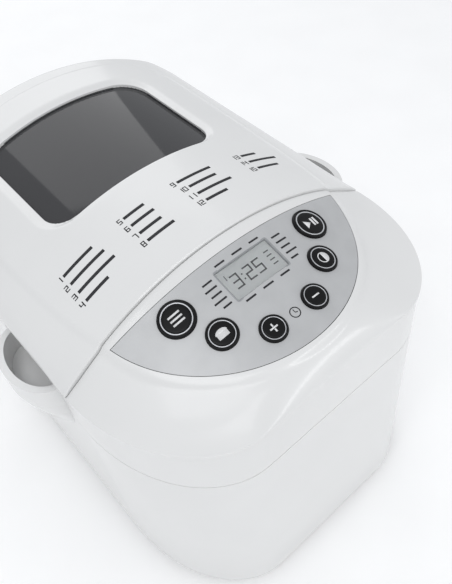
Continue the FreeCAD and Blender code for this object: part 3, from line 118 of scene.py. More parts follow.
# The half-moon panel, in its own plane
PANEL_RADIUS = 100 * MM
PANEL_CENTRE = 40.4 * MM
PANEL_TIP = 18 * MM
PANEL_TOP = 21.5 * MM
PANEL_GAP = 0.4 * MM
PANEL_PLANE = Matrix.Translation((0, DISPLAY_Y, DISPLAY_Z)) @ Matrix.Rotation(PANEL_SLOPE, 4, "X")

# Each button's place on the panel, across and up from the display's centre, and its radius, in mm
BUTTONS = {
    "menu_button": (-57.5, 4.0, 12.4),
    "loaf_button": (-43.2, -21.7, 10.3),
    "plus_button": (-17.7, -39.2, 9.0),
    "minus_button": (17.7, -39.2, 9.0),
    "shade_button": (43.2, -21.7, 10.3),
    "start_button": (57.5, 4.0, 12.4),
}
BUTTON_PROUD = 1.8 * MM
BUTTON_DEPTH = 7.8

# A button's turned parts: points as a share of its radius and a depth under its top in mm
RIM_PROFILE = [
    (0.845, 0.5), (0.88, 0.08), (0.93, 0), (0.975, 0.25), (1, 0.9),
    (1, BUTTON_DEPTH), (0.845, BUTTON_DEPTH), (0.845, 0.5),
]
LIGHT_RING_PROFILE = [
    (0.775, 0.45), (0.79, 0.30), (0.825, 0.30), (0.843, 0.55),
    (0.843, BUTTON_DEPTH), (0.775, BUTTON_DEPTH), (0.775, 0.45),
]
CAP_PROFILE = [
    (0, 0), (0.3, 0.01), (0.6, 0.06), (0.71, 0.14), (0.765, 0.5), (0.77, 1.2),
    (0.77, BUTTON_DEPTH), (0, BUTTON_DEPTH),
]
SIGN_LIFT = 0.03 * MM
SIGN_THICKNESS = 0.12 * MM

# The display: its surround as points of growth past the opening and height over the panel, in mm
SCREEN_HALF_X = 21.9 * MM
SCREEN_HALF_Y = 12.0 * MM
SCREEN_SINK = 3.0 * MM
SCREEN_CORNER = 1.0
SCREEN_CORNER_LEAST = 0.4
BEZEL_PROFILE = [
    (0.9, -0.05), (0.8, 0.18), (0.3, 0.22), (-0.2, -0.4),
    (-0.5, -1.5), (-0.5, -2.6), (0.15, -2.6), (0.15, -0.6),
]

# The window in the lid
WINDOW_HALF = 72.5 * MM
WINDOW_FRONT = FRONT + 195 * MM
WINDOW_LENGTH = 112 * MM
WINDOW_REAR = WINDOW_FRONT + WINDOW_LENGTH
WINDOW_CORNER = 20 * MM
WINDOW_SINK = 2.9 * MM
SURROUND_SIDE = 8 * MM
SURROUND_FRONT = 3.5 * MM
SURROUND_REAR = 5 * MM
SURROUND_CORNER = 4 * MM

# The barrels of the hinge and the arms that carry them
KNUCKLE_X = 75 * MM
KNUCKLE_HALF = 14.6 * MM
KNUCKLE_RADIUS = 4.4 * MM
KNUCKLE_BORE = 2.6 * MM
KNUCKLE_END_RADIUS = 3.9 * MM
KNUCKLE_END = 0.6 * MM
KNUCKLE_STEPS = 40
ARM_SIZE = Vector((28, 6.0, 6.0)) * MM
ARM_BEHIND = 0.8 * MM
ARM_BEVEL = 0.8 * MM
SORT_STEP = 0.001 * MM

# Printed strips and digits: shares of the stroke's thickness, of a digit's height and of its width
PRINT_HEIGHT = 0.05 * MM
STRIP_STEP = 3 * MM
STROKE_REACH = 0.42
COLON_DOTS = (0.3, 0.7)
COLON_ADVANCE = 0.55
DIGIT_ADVANCE = 1.62

# The lid's numbered marks, in mm: rows up from the display, columns across, each bar's end from its column
LID_MARK_ROWS = (87.5, 78.5, 69.0, 60.0)
LID_MARK_COLUMNS = (-94.0, -41.0, 5.5, 60.5)
LID_MARK_BARS = (30, 34, 36, 24, 22, 24, 23, 27, 34, 32, 38, 27, 22, 34, 28)
LID_BAR_THICKNESS = 2.6 * MM
LID_BAR_GAP = 0.8 * MM
LID_DIGIT_WIDTH = 2.3 * MM
LID_DIGIT_HEIGHT = 4.2 * MM
LID_DIGIT_DROP = 2.2 * MM
LID_DIGIT_STROKE = 0.75 * MM

# The panel's ticks and clock sign, in mm from the display's centre
SIDE_TICKS = ((9.5, 7.5), (4.7, 9.0), (-0.1, 8.0), (-4.9, 9.5), (-9.7, 6.5))
SIDE_TICK_START = 25.5
CROSS_TICKS = ((-14.5, 8.0), (0.0, 8.5), (14.5, 8.0))
CROSS_TICK_UP = 15.2
TICK_THICKNESS = 1.3 * MM
CLOCK_UP = -39.5 * MM
CLOCK_RADIUS = 3.4 * MM
CLOCK_STEPS = 24
CLOCK_LINE = 0.7 * MM
HAND_LINE = 0.6 * MM

# The stage in metres, the lens in mm and the camera's angles in degrees
FLOOR_HALF = 14.0
AIM = (0, 0, 0.2)
SENSOR = 36.0
LENS = 38.30
CAMERA_TURN = 33.890
CAMERA_TILT = 48.202
CAMERA_ROLL = -9.227
CAMERA_FROM_DISPLAY = Vector((-166.4, -213.92, 283.79)) * MM


# ---------------------------------------------------------------- materials

GRAIN_DETAIL = 3.0
GRAIN_DEPTH = 0.2 * MM
CLOUD_DETAIL = 4.0
CLOUD_ENDS = (0.35, 0.65)
PLASTIC_CLOUDS = 14.0
METAL_CLOUDS = 60.0
GLASS_CLOUDS = 9.0
PLASTIC_IOR = 1.5
COAT_ROUGHNESS = 0.12
GLASS_IOR = 1.45
GLASS_GRAIN = 30.0
GLASS_STRENGTH = 0.02
GLASS_DARKER = 0.95


def new_material(name):
    material = bpy.data.materials.new(name)
    material.use_nodes = True
    tree = material.node_tree
    return material, tree, tree.nodes["Principled BSDF"]


def add_bump(tree, shader, scale, strength):
    """Fine surface texture from noise in object space."""
    place = tree.nodes.new("ShaderNodeTexCoord")
    noise = tree.nodes.new("ShaderNodeTexNoise")
    noise.inputs["Scale"].default_value = scale
    noise.inputs["Detail"].default_value = GRAIN_DETAIL
    bump = tree.nodes.new("ShaderNodeBump")
    bump.inputs["Strength"].default_value = strength
    bump.inputs["Distance"].default_value = GRAIN_DEPTH
    tree.links.new(place.outputs["Object"], noise.inputs["Vector"])
    tree.links.new(noise.outputs["Fac"], bump.inputs["Height"])
    tree.links.new(bump.outputs["Normal"], shader.inputs["Normal"])
    return place


def add_variation(tree, shader, place, scale, dark, light):
    """A slow change between two colours over the surface."""
    noise = tree.nodes.new("ShaderNodeTexNoise")
    noise.inputs["Scale"].default_value = scale
    noise.inputs["Detail"].default_value = CLOUD_DETAIL
    ramp = tree.nodes.new("ShaderNodeValToRGB")
    for element, position, color in zip(ramp.color_ramp.elements, CLOUD_ENDS, (dark, light)):
        element.position = position
        element.color = (*color, 1)
    tree.links.new(place.outputs["Object"], noise.inputs["Vector"])
    tree.links.new(noise.outputs["Fac"], ramp.inputs["Fac"])
    tree.links.new(ramp.outputs["Color"], shader.inputs["Base Color"])


def dark_and_light(color, spread):
    return [c * (1 - spread) for c in color], [min(1, c * (1 + spread)) for c in color]


def plastic(name, color, roughness, grain=900.0, strength=0.06, spread=0.03, coat=0.0, specular=0.5):
    """Moulded or printed plastic, rubber, ceramic and paper."""
    material, tree, shader = new_material(name)
    shader.inputs["Roughness"].default_value = roughness
    shader.inputs["IOR"].default_value = PLASTIC_IOR
    shader.inputs["Coat Weight"].default_value = coat
    shader.inputs["Coat Roughness"].default_value = COAT_ROUGHNESS
    shader.inputs["Specular IOR Level"].default_value = specular
    place = add_bump(tree, shader, grain, strength)
    add_variation(tree, shader, place, PLASTIC_CLOUDS, *dark_and_light(color, spread))
    return material


def add_glow(material, color, strength):
    """A little light of its own: a painted glow that lightens the display's grey face, or the even glow of
    a backlit floor.
    """
    shader = material.node_tree.nodes["Principled BSDF"]
    shader.inputs["Emission Color"].default_value = (*color, 1)
    shader.inputs["Emission Strength"].default_value = strength


def metal(name, color, roughness, grain, strength, spread, metallic=1.0, stretch=None):
    """Bare or painted metal; a stretch makes its grain run along one axis."""
    material, tree, shader = new_material(name)
    shader.inputs["Metallic"].default_value = metallic
    shader.inputs["Roughness"].default_value = roughness
    place = add_bump(tree, shader, grain, strength)
    add_variation(tree, shader, place, METAL_CLOUDS, *dark_and_light(color, spread))
    if stretch:
        mapping = tree.nodes.new("ShaderNodeMapping")
        mapping.inputs["Scale"].default_value = stretch
        tree.links.new(place.outputs["Object"], mapping.inputs["Vector"])
        for node in tree.nodes:
            if node.type == "TEX_NOISE":
                tree.links.new(mapping.outputs["Vector"], node.inputs["Vector"])
    return material


def glass(name, color, roughness, transmission):
    material, tree, shader = new_material(name)
    shader.inputs["Transmission Weight"].default_value = transmission
    shader.inputs["Roughness"].default_value = roughness
    shader.inputs["IOR"].default_value = GLASS_IOR
    place = add_bump(tree, shader, GLASS_GRAIN, GLASS_STRENGTH)
    add_variation(tree, shader, place, GLASS_CLOUDS, [c * GLASS_DARKER for c in color], color)
    return material


# Finishes: colour, roughness, grain per metre, grain strength, colour spread
WHITE = plastic("white_plastic", (0.74, 0.74, 0.735), 0.36, 1100.0, 0.05, 0.012, coat=0.5)
LID_WHITE = plastic("lid_plastic", (0.75, 0.75, 0.745), 0.34, 1100.0, 0.05, 0.012, coat=0.4)
BASE_PLASTIC = plastic("base_plastic", (0.60, 0.60, 0.59), 0.55, 500.0, 0.2, 0.03)
RUBBER = plastic("black_rubber", (0.035, 0.035, 0.035), 0.8, 350.0, 0.3, 0.15)
SILVER = metal("silver_paint", (0.52, 0.525, 0.53), 0.47, 1600.0, 0.07, 0.03, metallic=0.4)
BUTTON_BLACK = plastic("button_black", (0.005, 0.005, 0.0055), 0.38, 900.0, 0.04, 0.1, specular=0.18)
BUTTON_RING = metal("button_ring", (0.62, 0.63, 0.65), 0.32, 900.0, 0.05, 0.04, metallic=0.5)
PRINT_WHITE = plastic("print_white", (0.78, 0.78, 0.78), 0.5, 800.0, 0.05, 0.03)
PRINT_DARK = plastic("print_dark", (0.03, 0.03, 0.033), 0.6, 800.0, 0.05, 0.1, specular=0.2)
SCREEN_GREY_PAINTED_GLOW = plastic("screen_grey_painted_glow", (0.80, 0.81, 0.815), 0.42, 2500.0, 0.03, 0.03)
# Painted glow: the display's grey face gives off a little light of its own so that it looks lighter
add_glow(SCREEN_GREY_PAINTED_GLOW, (0.95, 1.0, 1.0), 0.10)
SCREEN_INK = plastic("screen_ink", (0.13, 0.135, 0.14), 0.45, 900.0, 0.03, 0.05)
BEZEL = plastic("screen_bezel", (0.30, 0.31, 0.32), 0.35, 900.0, 0.05, 0.04, coat=0.2)
SCREEN_CLEAR = glass("screen_cover", (0.99, 0.99, 0.99), 0.04, 1.0)
DARK_GLASS = glass("window_glass", (0.060, 0.060, 0.064), 0.06, 0.35)
CLEAR_GLASS = glass("inner_glass", (0.9, 0.93, 0.92), 0.03, 1.0)
BOARD = plastic("board_green", (0.02, 0.14, 0.06), 0.4, 300.0, 0.2, 0.15)
DARK_PLASTIC = plastic("dark_plastic", (0.05, 0.05, 0.055), 0.5, 600.0, 0.15, 0.1)
ZINC = metal("zinc_steel", (0.60, 0.60, 0.58), 0.38, 300.0, 0.12, 0.1)
TUB_STEEL = metal("chamber_steel", (0.56, 0.56, 0.56), 0.33, 420.0, 0.12, 0.06, stretch=(1, 1, 0.06))
HEATER = metal("heater_steel", (0.20, 0.19, 0.185), 0.45, 500.0, 0.2, 0.2)
CERAMIC = plastic("ceramic", (0.82, 0.79, 0.72), 0.35, 400.0, 0.1, 0.04)
BRONZE = metal("bronze", (0.58, 0.38, 0.18), 0.4, 500.0, 0.15, 0.1)
PULLEY = plastic("pulley_plastic", (0.70, 0.67, 0.60), 0.5, 500.0, 0.15, 0.04)
COPPER = metal("copper_windings", (0.50, 0.24, 0.12), 0.42, 900.0, 0.4, 0.2, stretch=(1, 1, 6))
SCREW = metal("screw_steel", (0.66, 0.66, 0.66), 0.28, 600.0, 0.1, 0.08)
PAN_COATING = metal("pan_coating", (0.085, 0.085, 0.09), 0.42, 1500.0, 0.35, 0.12, metallic=0.35)
ALUMINIUM = metal("liner_aluminium", (0.70, 0.70, 0.71), 0.36, 500.0, 0.1, 0.05, stretch=(0.08, 1, 1))
GASKET = plastic("gasket_rubber", (0.10, 0.10, 0.105), 0.7, 400.0, 0.2, 0.1)
CABLE = plastic("cable_grey", (0.42, 0.43, 0.46), 0.5, 500.0, 0.15, 0.05)
RELAY_BLUE = plastic("relay_blue", (0.05, 0.13, 0.33), 0.4, 500.0, 0.1, 0.05)

NODE_LOOKS = {
    "body_white": WHITE,
    "lid_white": LID_WHITE,
    "base_plastic": BASE_PLASTIC,
    "feet_rubber": RUBBER,
    "panel_silver": SILVER,
    "button_black": BUTTON_BLACK,
    "lcd_clear": SCREEN_CLEAR,
    "lcd_grey": SCREEN_GREY_PAINTED_GLOW,
    "board_green": BOARD,
    "dark_plastic": DARK_PLASTIC,
    "zinc_steel": ZINC,
    "chamber_steel": TUB_STEEL,
    "heater_steel": HEATER,
    "ceramic": CERAMIC,
    "bronze": BRONZE,
    "belt_rubber": RUBBER,
    "pulley_plastic": PULLEY,
    "copper_core": COPPER,
    "screw_steel": SCREW,
    "pan_coating": PAN_COATING,
    "liner_aluminium": ALUMINIUM,
    "window_glass": DARK_GLASS,
    "clear_glass": CLEAR_GLASS,
    "gasket_grey": GASKET,
    "cable_grey": CABLE,
    "relay_blue": RELAY_BLUE,
}


def dress_nodes():
    """Every CAD node takes the material of its slot."""
    for entry in frame["record"]["subparts"]:
        node = frame["nodes"][entry["node"]]
        node.data.materials.clear()
        node.data.materials.append(NODE_LOOKS[entry["material_slot"]])


# ---------------------------------------------------------------- surfaces


def smooth(t):
    """0 to 1 with no sharp start or end, for t from 0 to 1."""
    t = min(1.0, max(0.0, t))
    return t * t * (3 - 2 * t)


def crown_drop(x):
    """How far the arch has fallen at a distance x from the middle."""
    return ARCH - math.sqrt(ARCH**2 - x**2)


def soft_max(a, b, reach):
    """The larger of two heights, with a smooth change from one to the other."""
    gap = abs(a - b)
    if gap >= reach:
        return max(a, b)
    return max(a, b) + (reach - gap) ** 2 / (4 * reach)


def half_width(y):
    """Half the casing's width at a distance y from front to back."""
    if y < CORNER_Y:
        return CORNER_X + CORNER_WIDTH * math.sqrt(max(0.0, 1 - ((CORNER_Y - y) / CORNER_DEPTH) ** 2))
    bend = REAR - REAR_CORNER
    if y > bend:
        return HALF_WIDTH - REAR_CORNER + math.sqrt(max(0.0, REAR_CORNER**2 - (y - bend) ** 2))
    return HALF_WIDTH


def edge_distance(x, y):
    """How far a point lies inside the casing's outline."""
    across = abs(x)
    if y < CORNER_Y:
        if across < CORNER_X:
            return y - FRONT
        u = (across - CORNER_X) / CORNER_WIDTH
        v = (CORNER_Y - y) / CORNER_DEPTH
        share = math.hypot(u, v)
        if share < DEEP_SHARE:
            return DEEP_INSIDE
        return (1 - share) * share / math.hypot(u / CORNER_WIDTH, v / CORNER_DEPTH)
    bend = REAR - REAR_CORNER
    if y > bend and across > HALF_WIDTH - REAR_CORNER:
        return REAR_CORNER - math.hypot(across - HALF_WIDTH + REAR_CORNER, y - bend)
    return HALF_WIDTH - across


def rolled(distance, radius):
    """0 at an edge, 1 from one radius inside it, along a quarter round."""
    if distance >= radius:
        return 1.0
    short = 1 - max(0.0, distance) / radius
    return math.sqrt(max(0.0, 1 - short * short))


def panel_height(x, y):
    """The shoulder's raised field, extended everywhere."""
    return DISPLAY_Z + math.tan(PANEL_SLOPE) * (y - DISPLAY_Y) - crown_drop(x) / math.cos(PANEL_SLOPE)


def field_step(inside):
    """How far the surface has dropped off its raised field, at a distance inside the crease's middle."""
    return FIELD_STEP * (1 - smooth(inside / CREASE_WIDTH + 0.5))


def shoulder_height(x, y):
    """The shoulder's top: its raised field, the crease round it and the rolled edges."""
    up = (y - DISPLAY_Y) / math.cos(PANEL_SLOPE)
    share = math.hypot(x / SHOULDER_FIELD_X, (up - PANEL_CENTRE) / SHOULDER_FIELD_UP)
    z = panel_height(x, y) - field_step((1 - share) * SHOULDER_FIELD_REACH)
    edge = edge_distance(x, y)
    low = EDGE_HEIGHT + SHOULDER_LIFT + SHOULDER_LEAN * edge
    z = soft_max(z, low, SHOULDER_BLEND)
    forward = min(1.0, max(0.0, (SEAM - y) / SHOULDER_ROUND_LENGTH))
    radius = SHOULDER_ROUND + SHOULDER_ROUND_MORE * forward
    z = EDGE_HEIGHT + (z - EDGE_HEIGHT) * rolled(edge, radius)
    return z - SEAM_FALL * (1 - rolled(SEAM - y, SEAM_ROUND))


def crease_x(y):
    """Half the width of the lid's raised field, wider towards the back."""
    return LID_FIELD_X + LID_FIELD_SPREAD * (1 - math.exp(-(y - SEAM) / LID_FIELD_SPREAD_LENGTH))


def rounded_inside(x, y, half_x, low_y, high_y, corner):
    """Signed distance inside a rounded rectangle, positive inside."""
    middle = (low_y + high_y) / 2
    dx = abs(x) - (half_x - corner)
    dy = abs(y - middle) - ((high_y - low_y) / 2 - corner)
    outside = math.hypot(max(dx, 0.0), max(dy, 0.0))
    return corner - outside - min(max(dx, dy), 0.0)


def lid_plain(x, y):
    """The lid's raised field, extended everywhere."""
    return DISPLAY_Z + LID_RISE + math.tan(LID_SLOPE) * (y - SEAM) - crown_drop(x) / math.cos(LID_SLOPE)


def lid_height(x, y):
    """The lid's top: its raised field, the sunk surround of the window and the rolled edges."""
    inside = rounded_inside(x, y, crease_x(y), SEAM - LID_FIELD_AHEAD, LID_FIELD_REAR, LID_FIELD_CORNER)
    z = lid_plain(x, y) - field_step(inside)
    outer = rounded_inside(
        x, y, WINDOW_HALF + SURROUND_SIDE, WINDOW_FRONT - SURROUND_FRONT,
        WINDOW_REAR + SURROUND_REAR, WINDOW_CORNER + SURROUND_CORNER,
    )
    inner = -rounded_inside(x, y, WINDOW_HALF, WINDOW_FRONT, WINDOW_REAR, WINDOW_CORNER)
    if outer > 0:
        share = 1.0 if inner <= 0 else outer / (outer + inner)
        z -= WINDOW_SINK * smooth(share)
    z -= LID_SIDE_FALL * (1 - rolled(edge_distance(x, y), LID_SIDE_ROUND))
    z -= LID_REAR_FALL * (1 - rolled(LID_REAR - y, LID_REAR_ROUND))
    z -= LID_FRONT_FALL * (1 - rolled(y - LID_FRONT, LID_FRONT_ROUND))
    return max(z, LID_BOTTOM + LID_LEAST)


def clustered(count, strength):
    """count + 1 values from -1 to 1, closer together near the ends the greater the strength."""
    values = []
    for i in range(count + 1):
        even = 2 * i / count - 1
        values.append(math.sin(math.pi * even / 2) * strength + even * (1 - strength))
    return values


def mesh_object(name, bm, material, body):
    """Makes a smooth-shaded piece of a bmesh and lets it ride on a body."""
    mesh = bpy.data.meshes.new(name)
    bmesh.ops.recalc_face_normals(bm, faces=bm.faces)
    for face in bm.faces:
        face.smooth = True
    bm.to_mesh(mesh)
    bm.free()
    mesh.materials.append(material)
    piece = bpy.data.objects.new(name, mesh)
    bpy.context.scene.collection.objects.link(piece)
    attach(piece, body)
    return piece


def apply_modifiers(piece):
    """Makes what the modifiers show the piece's own mesh."""
    depsgraph = bpy.context.evaluated_depsgraph_get()
    mesh = bpy.data.meshes.new_from_object(piece.evaluated_get(depsgraph))
    piece.modifiers.clear()
    piece.data = mesh


def cut_with(piece, cutter_bm, name):
    """Cuts a closed shape out of a piece."""
    mesh = bpy.data.meshes.new(name)
    bmesh.ops.recalc_face_normals(cutter_bm, faces=cutter_bm.faces)
    cutter_bm.to_mesh(mesh)
    cutter_bm.free()
    cutter = bpy.data.objects.new(name, mesh)
    bpy.context.scene.collection.objects.link(cutter)
    cut = piece.modifiers.new("cut", "BOOLEAN")
    cut.operation = "DIFFERENCE"
    cut.solver = "EXACT"
    cut.object = cutter
    apply_modifiers(piece)
    bpy.data.objects.remove(cutter)


def shade_by_angle(piece, degrees=32):
    """Smooth shading with crisp edges where the surface turns sharply."""
    limit = math.radians(degrees)
    bm = bmesh.new()
    bm.from_mesh(piece.data)
    for face in bm.faces:
        face.smooth = True
    for edge in bm.edges:
        edge.smooth = len(edge.link_faces) == 2 and edge.calc_face_angle(0) < limit
    bm.to_mesh(piece.data)
    bm.free()


def side_faces(bm, low, high):
    """A closed band of faces between two loops with as many points."""
    for i in range(len(low)):
        j = (i + 1) % len(low)
        bm.faces.new((low[i], low[j], high[j], high[i]))


def skin_piece(name, rows, columns, point, skirt_bottom, material, body):
    """A moulded skin: a grid of points, its border folded down to skirt_bottom, then thickened."""
    bm = bmesh.new()
    grid = [[bm.verts.new(point(row, column)) for column in columns] for row in rows]
    for above, below in zip(grid, grid[1:]):
        for a, b, c, d in zip(above, above[1:], below[1:], below):
            bm.faces.new((a, b, c, d))
    right_side = [line[-1] for line in grid[:-1]]
    left_side = [line[0] for line in grid[:0:-1]]
    border = grid[0][:-1] + right_side + grid[-1][:0:-1] + left_side
    last = border
    for level in range(1, SKIRT_LEVELS + 1):
        share = level / SKIRT_LEVELS
        ring = []
        for vert in border:
            drop = (vert.co.z - skirt_bottom) * share
            ring.append(bm.verts.new((vert.co.x, vert.co.y, vert.co.z - drop)))
        side_faces(bm, last, ring)
        last = ring
    piece = mesh_object(name, bm, material, body)
    thick = piece.modifiers.new("thick", "SOLIDIFY")
    thick.thickness = SKIN
    thick.offset = -1
    apply_modifiers(piece)
    return piece


# ---------------------------------------------------------------- the panel's own plane


def on_panel(x, up, lift=0.0):
    """A point of the control panel's plane, following its arch, lifted along the surface's normal."""
    lean = math.asin(x / ARCH)
    local = Vector((x + math.sin(lean) * lift, up, -crown_drop(x) + math.cos(lean) * lift))
    return PANEL_PLANE @ local


def panel_frame(x, up):
    """A frame on the panel: its X along the arch, its Z out of the surface."""
    lean = math.asin(x / ARCH)
    turn = Matrix.Rotation(PANEL_SLOPE, 4, "X") @ Matrix.Rotation(lean, 4, "Y")
    return Matrix.Translation(on_panel(x, up)) @ turn


def prism(points, low, high, place=Matrix.Identity(4)):
    """A closed upright shape of an outline, in a place's own axes."""
    bm = bmesh.new()
    bottom = [bm.verts.new(place @ Vector((x, y, low))) for x, y in points]
    top = [bm.verts.new(place @ Vector((x, y, high))) for x, y in points]
    bm.faces.new(bottom)
    bm.faces.new(top)
    side_faces(bm, bottom, top)
    return bm


def half_moon_cutter():
    """The panel's outline grown by its gap, as a tall prism square to the panel's plane."""
    radius = PANEL_RADIUS + PANEL_GAP
    tip_up = PANEL_TIP + PANEL_GAP
    tip_x = math.sqrt(radius**2 - (PANEL_CENTRE - tip_up) ** 2)
    start = math.atan2(tip_up - PANEL_CENTRE, -tip_x)
    finish = math.atan2(tip_up - PANEL_CENTRE, tip_x)
    round_steps, bow_steps = 90, 40
    outline = []
    for i in range(round_steps + 1):
        angle = start + (finish - start) * i / round_steps
        outline.append((radius * math.cos(angle), PANEL_CENTRE + radius * math.sin(angle)))
    bow = PANEL_TOP - PANEL_TIP
    for i in range(1, bow_steps):
        x = tip_x * (1 - 2 * i / bow_steps)
        outline.append((x, tip_up + bow * (1 - (x / tip_x) ** 2)))
    return prism(outline, -60 * MM, 30 * MM, PANEL_PLANE)


def make_shoulder():
    """The front shoulder, folded over the rounded front edge, with the panel's pocket cut out."""
    count = 96
    first = math.asin((CORNER_Y - SEAM) / CORNER_DEPTH)
    rows = [first + (math.pi / 2 - first) * (i / count) for i in range(count + 1)]
    columns = clustered(150, 0.75)

    def point(angle, share):
        y = CORNER_Y - CORNER_DEPTH * math.sin(angle)
        x = share * (CORNER_X + CORNER_WIDTH * math.cos(angle))
        return (x, y, shoulder_height(x, y))

    piece = skin_piece("shoulder_cover", rows, columns, point, DECK_UNDER, WHITE, "cabinet")
    cut_with(piece, half_moon_cutter(), "panel_cutter")
    shade_by_angle(piece)
    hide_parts("top_cover")


def rounded_outline(half_x, low_y, high_y, corner, steps=10):
    """The outline of a rounded rectangle, from its right side round to the left."""
    points = []
    for cx, cy, start in (
        (half_x - corner, high_y - corner, 0),
        (-half_x + corner, high_y - corner, 90),
        (-half_x + corner, low_y + corner, 180),
        (half_x - corner, low_y + corner, 270),
    ):
        for i in range(steps + 1):
            angle = math.radians(start + 90 * i / steps)
            points.append((cx + corner * math.cos(angle), cy + corner * math.sin(angle)))
    return points


def make_lid():
    """The lid's outer skin, with its raised field, sunk window surround and window opening."""
    rows = [LID_FRONT + (LID_REAR - LID_FRONT) * (share + 1) / 2 for share in clustered(150, 0.55)]
    columns = clustered(170, 0.55)

    def point(y, share):
        x = share * half_width(y)
        return (x, y, lid_height(x, y))

    piece = skin_piece("lid_skin", rows, columns, point, LID_BOTTOM, LID_WHITE, "lid")
    window = rounded_outline(WINDOW_HALF, WINDOW_FRONT, WINDOW_REAR, WINDOW_CORNER)
    cut_with(piece, prism(window, PARTING, LID_HIGH.z + 50 * MM), "window_cutter")
    shade_by_angle(piece)
    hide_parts("lid_shell")


def lathe(bm, profile, place, segments=64):
    """A turned shape; its profile is a list of (radius, height)."""
    rings = []
    for radius, height in profile:
        if radius <= 0:
            rings.append([bm.verts.new(place @ Vector((0, 0, height)))])
            continue
        ring = []
        for i in range(segments):
            angle = 2 * math.pi * i / segments
            point = Vector((radius * math.cos(angle), radius * math.sin(angle), height))
            ring.append(bm.verts.new(place @ point))
        rings.append(ring)
    for above, below in zip(rings, rings[1:]):
        for i in range(segments):
            j = (i + 1) % segments
            if len(above) == 1:
                bm.faces.new((above[0], below[i], below[j]))
            elif len(below) == 1:
                bm.faces.new((above[i], below[0], above[j]))
            else:
                bm.faces.new((above[i], below[i], below[j], above[j]))


def add_in_order(bm, shape):
    """Copies a shape into bm with its points and faces sorted, because a bevel leaves them in any order."""
    points = sorted(shape.verts, key=lambda vert: [round(c / SORT_STEP) for c in vert.co])
    index = {vert: i for i, vert in enumerate(points)}
    rings = []
    for face in shape.faces:
        ring = [index[vert] for vert in face.verts]
        first = ring.index(min(ring))
        rings.append(ring[first:] + ring[:first])
    copies = [bm.verts.new(vert.co) for vert in points]
    for ring in sorted(rings):
        bm.faces.new([copies[i] for i in ring])


def make_hinge_knuckles():
    """The two barrels at the lid's back edge, each on a short arm."""
    pins_low, pins_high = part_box("hinge_pins")
    axis_y = (pins_low.y + pins_high.y) / 2
    axis_z = (pins_low.z + pins_high.z) / 2
    shoulder = KNUCKLE_HALF - KNUCKLE_END
    profile = [
        (KNUCKLE_BORE, KNUCKLE_HALF), (KNUCKLE_END_RADIUS, KNUCKLE_HALF), (KNUCKLE_RADIUS, shoulder),
        (KNUCKLE_RADIUS, -shoulder), (KNUCKLE_END_RADIUS, -KNUCKLE_HALF), (KNUCKLE_BORE, -KNUCKLE_HALF),
        (KNUCKLE_BORE, KNUCKLE_HALF),
    ]
    bm = bmesh.new()
    sideways = Matrix.Rotation(math.pi / 2, 4, "Y")
    for side in SIDES:
        place = Matrix.Translation((side * KNUCKLE_X, axis_y, axis_z)) @ sideways
        lathe(bm, profile, place, KNUCKLE_STEPS)
        arm = bmesh.new()
        bmesh.ops.create_cube(arm, size=1.0)
        centre = Vector((side * KNUCKLE_X, LID_REAR + ARM_BEHIND, axis_z))
        for vert in arm.verts:
            vert.co = vert.co * ARM_SIZE + centre
        bmesh.ops.bevel(arm, geom=arm.edges[:], offset=ARM_BEVEL, segments=3, affect="EDGES")
        add_in_order(bm, arm)
        arm.free()
    piece = mesh_object("lid_knuckles", bm, LID_WHITE, "lid")
    shade_by_angle(piece)


# ---------------------------------------------------------------- buttons and marks


def turned_part(name, ending, profile, material):
    """One turned part of a button, riding on that button's body."""
    x, up, radius = BUTTONS[name]
    points = [(share * radius * MM, BUTTON_PROUD - depth * MM) for share, depth in profile]
    bm = bmesh.new()
    lathe(bm, points, panel_frame(x * MM, up * MM))
    return mesh_object(name + ending, bm, material, name)


def make_button(name):
    """A dark cap in a light ring, inside a dark outer rim with rounded edges."""
    rim = turned_part(name, "_rim", RIM_PROFILE, BUTTON_BLACK)
    turned_part(name, "_ring", LIGHT_RING_PROFILE, BUTTON_RING)
    turned_part(name, "_cap", CAP_PROFILE, BUTTON_BLACK)
    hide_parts(name)


def flat_shape(bm, points, place, height, thickness):
    """A thin printed shape: a polygon in a place's own XY plane."""
    bottom = [bm.verts.new(place @ Vector((x, y, height - thickness))) for x, y in points]
    top = [bm.verts.new(place @ Vector((x, y, height))) for x, y in points]
    bm.faces.new(top)
    bm.faces.new(bottom[::-1])
    side_faces(bm, bottom, top)


def bar(cx, cy, width, height):
    return [(cx - width / 2, cy - height / 2), (cx + width / 2, cy - height / 2),
            (cx + width / 2, cy + height / 2), (cx - width / 2, cy + height / 2)]


def disc(cx, cy, radius, start, sweep, steps):
    """Points along an arc, in degrees."""
    angles = [math.radians(start + sweep * i / steps) for i in range(steps + 1)]
    return [(cx + radius * math.cos(angle), cy + radius * math.sin(angle)) for angle in angles]


def loaf_sign(r):
    side, foot, rise = 0.38 * r, -0.28 * r, 0.06 * r
    crust = [(x, rise + (y - rise) * 0.62) for x, y in disc(0, rise, 0.42 * r, 0, 180, 16)]
    return [(-side, foot), (side, foot), (side, rise)] + crust + [(-side, rise)]


def icon_shapes(name, r):
    """Generic signs for the six buttons, as lists of polygons."""
    thin, line, thick = 0.105 * r, 0.12 * r, 0.135 * r
    if name == "menu_button":
        return [bar(0, k * 0.24 * r, 0.72 * r, thin) for k in (-1, 0, 1)]
    if name == "plus_button":
        arms = [bar(0, side * 0.215 * r, line, 0.25 * r) for side in (1, -1)]
        return [bar(0, 0, 0.66 * r, line)] + arms
    if name == "minus_button":
        return [bar(0, 0, 0.66 * r, line)]
    if name == "loaf_button":
        return [loaf_sign(r)]
    if name == "shade_button":
        left, right = (disc(0, 0, 0.40 * r, start, 180, 20) for start in (90, -90))
        inner = [(x * 0.84, y * 0.84) for x, y in left]
        return [right, left + inner[::-1]]
    triangle = [(-0.40 * r, -0.27 * r), (0.0, 0.0), (-0.40 * r, 0.27 * r)]
    return [triangle] + [bar(at * r, 0, thick, 0.52 * r) for at in (0.17, 0.38)]


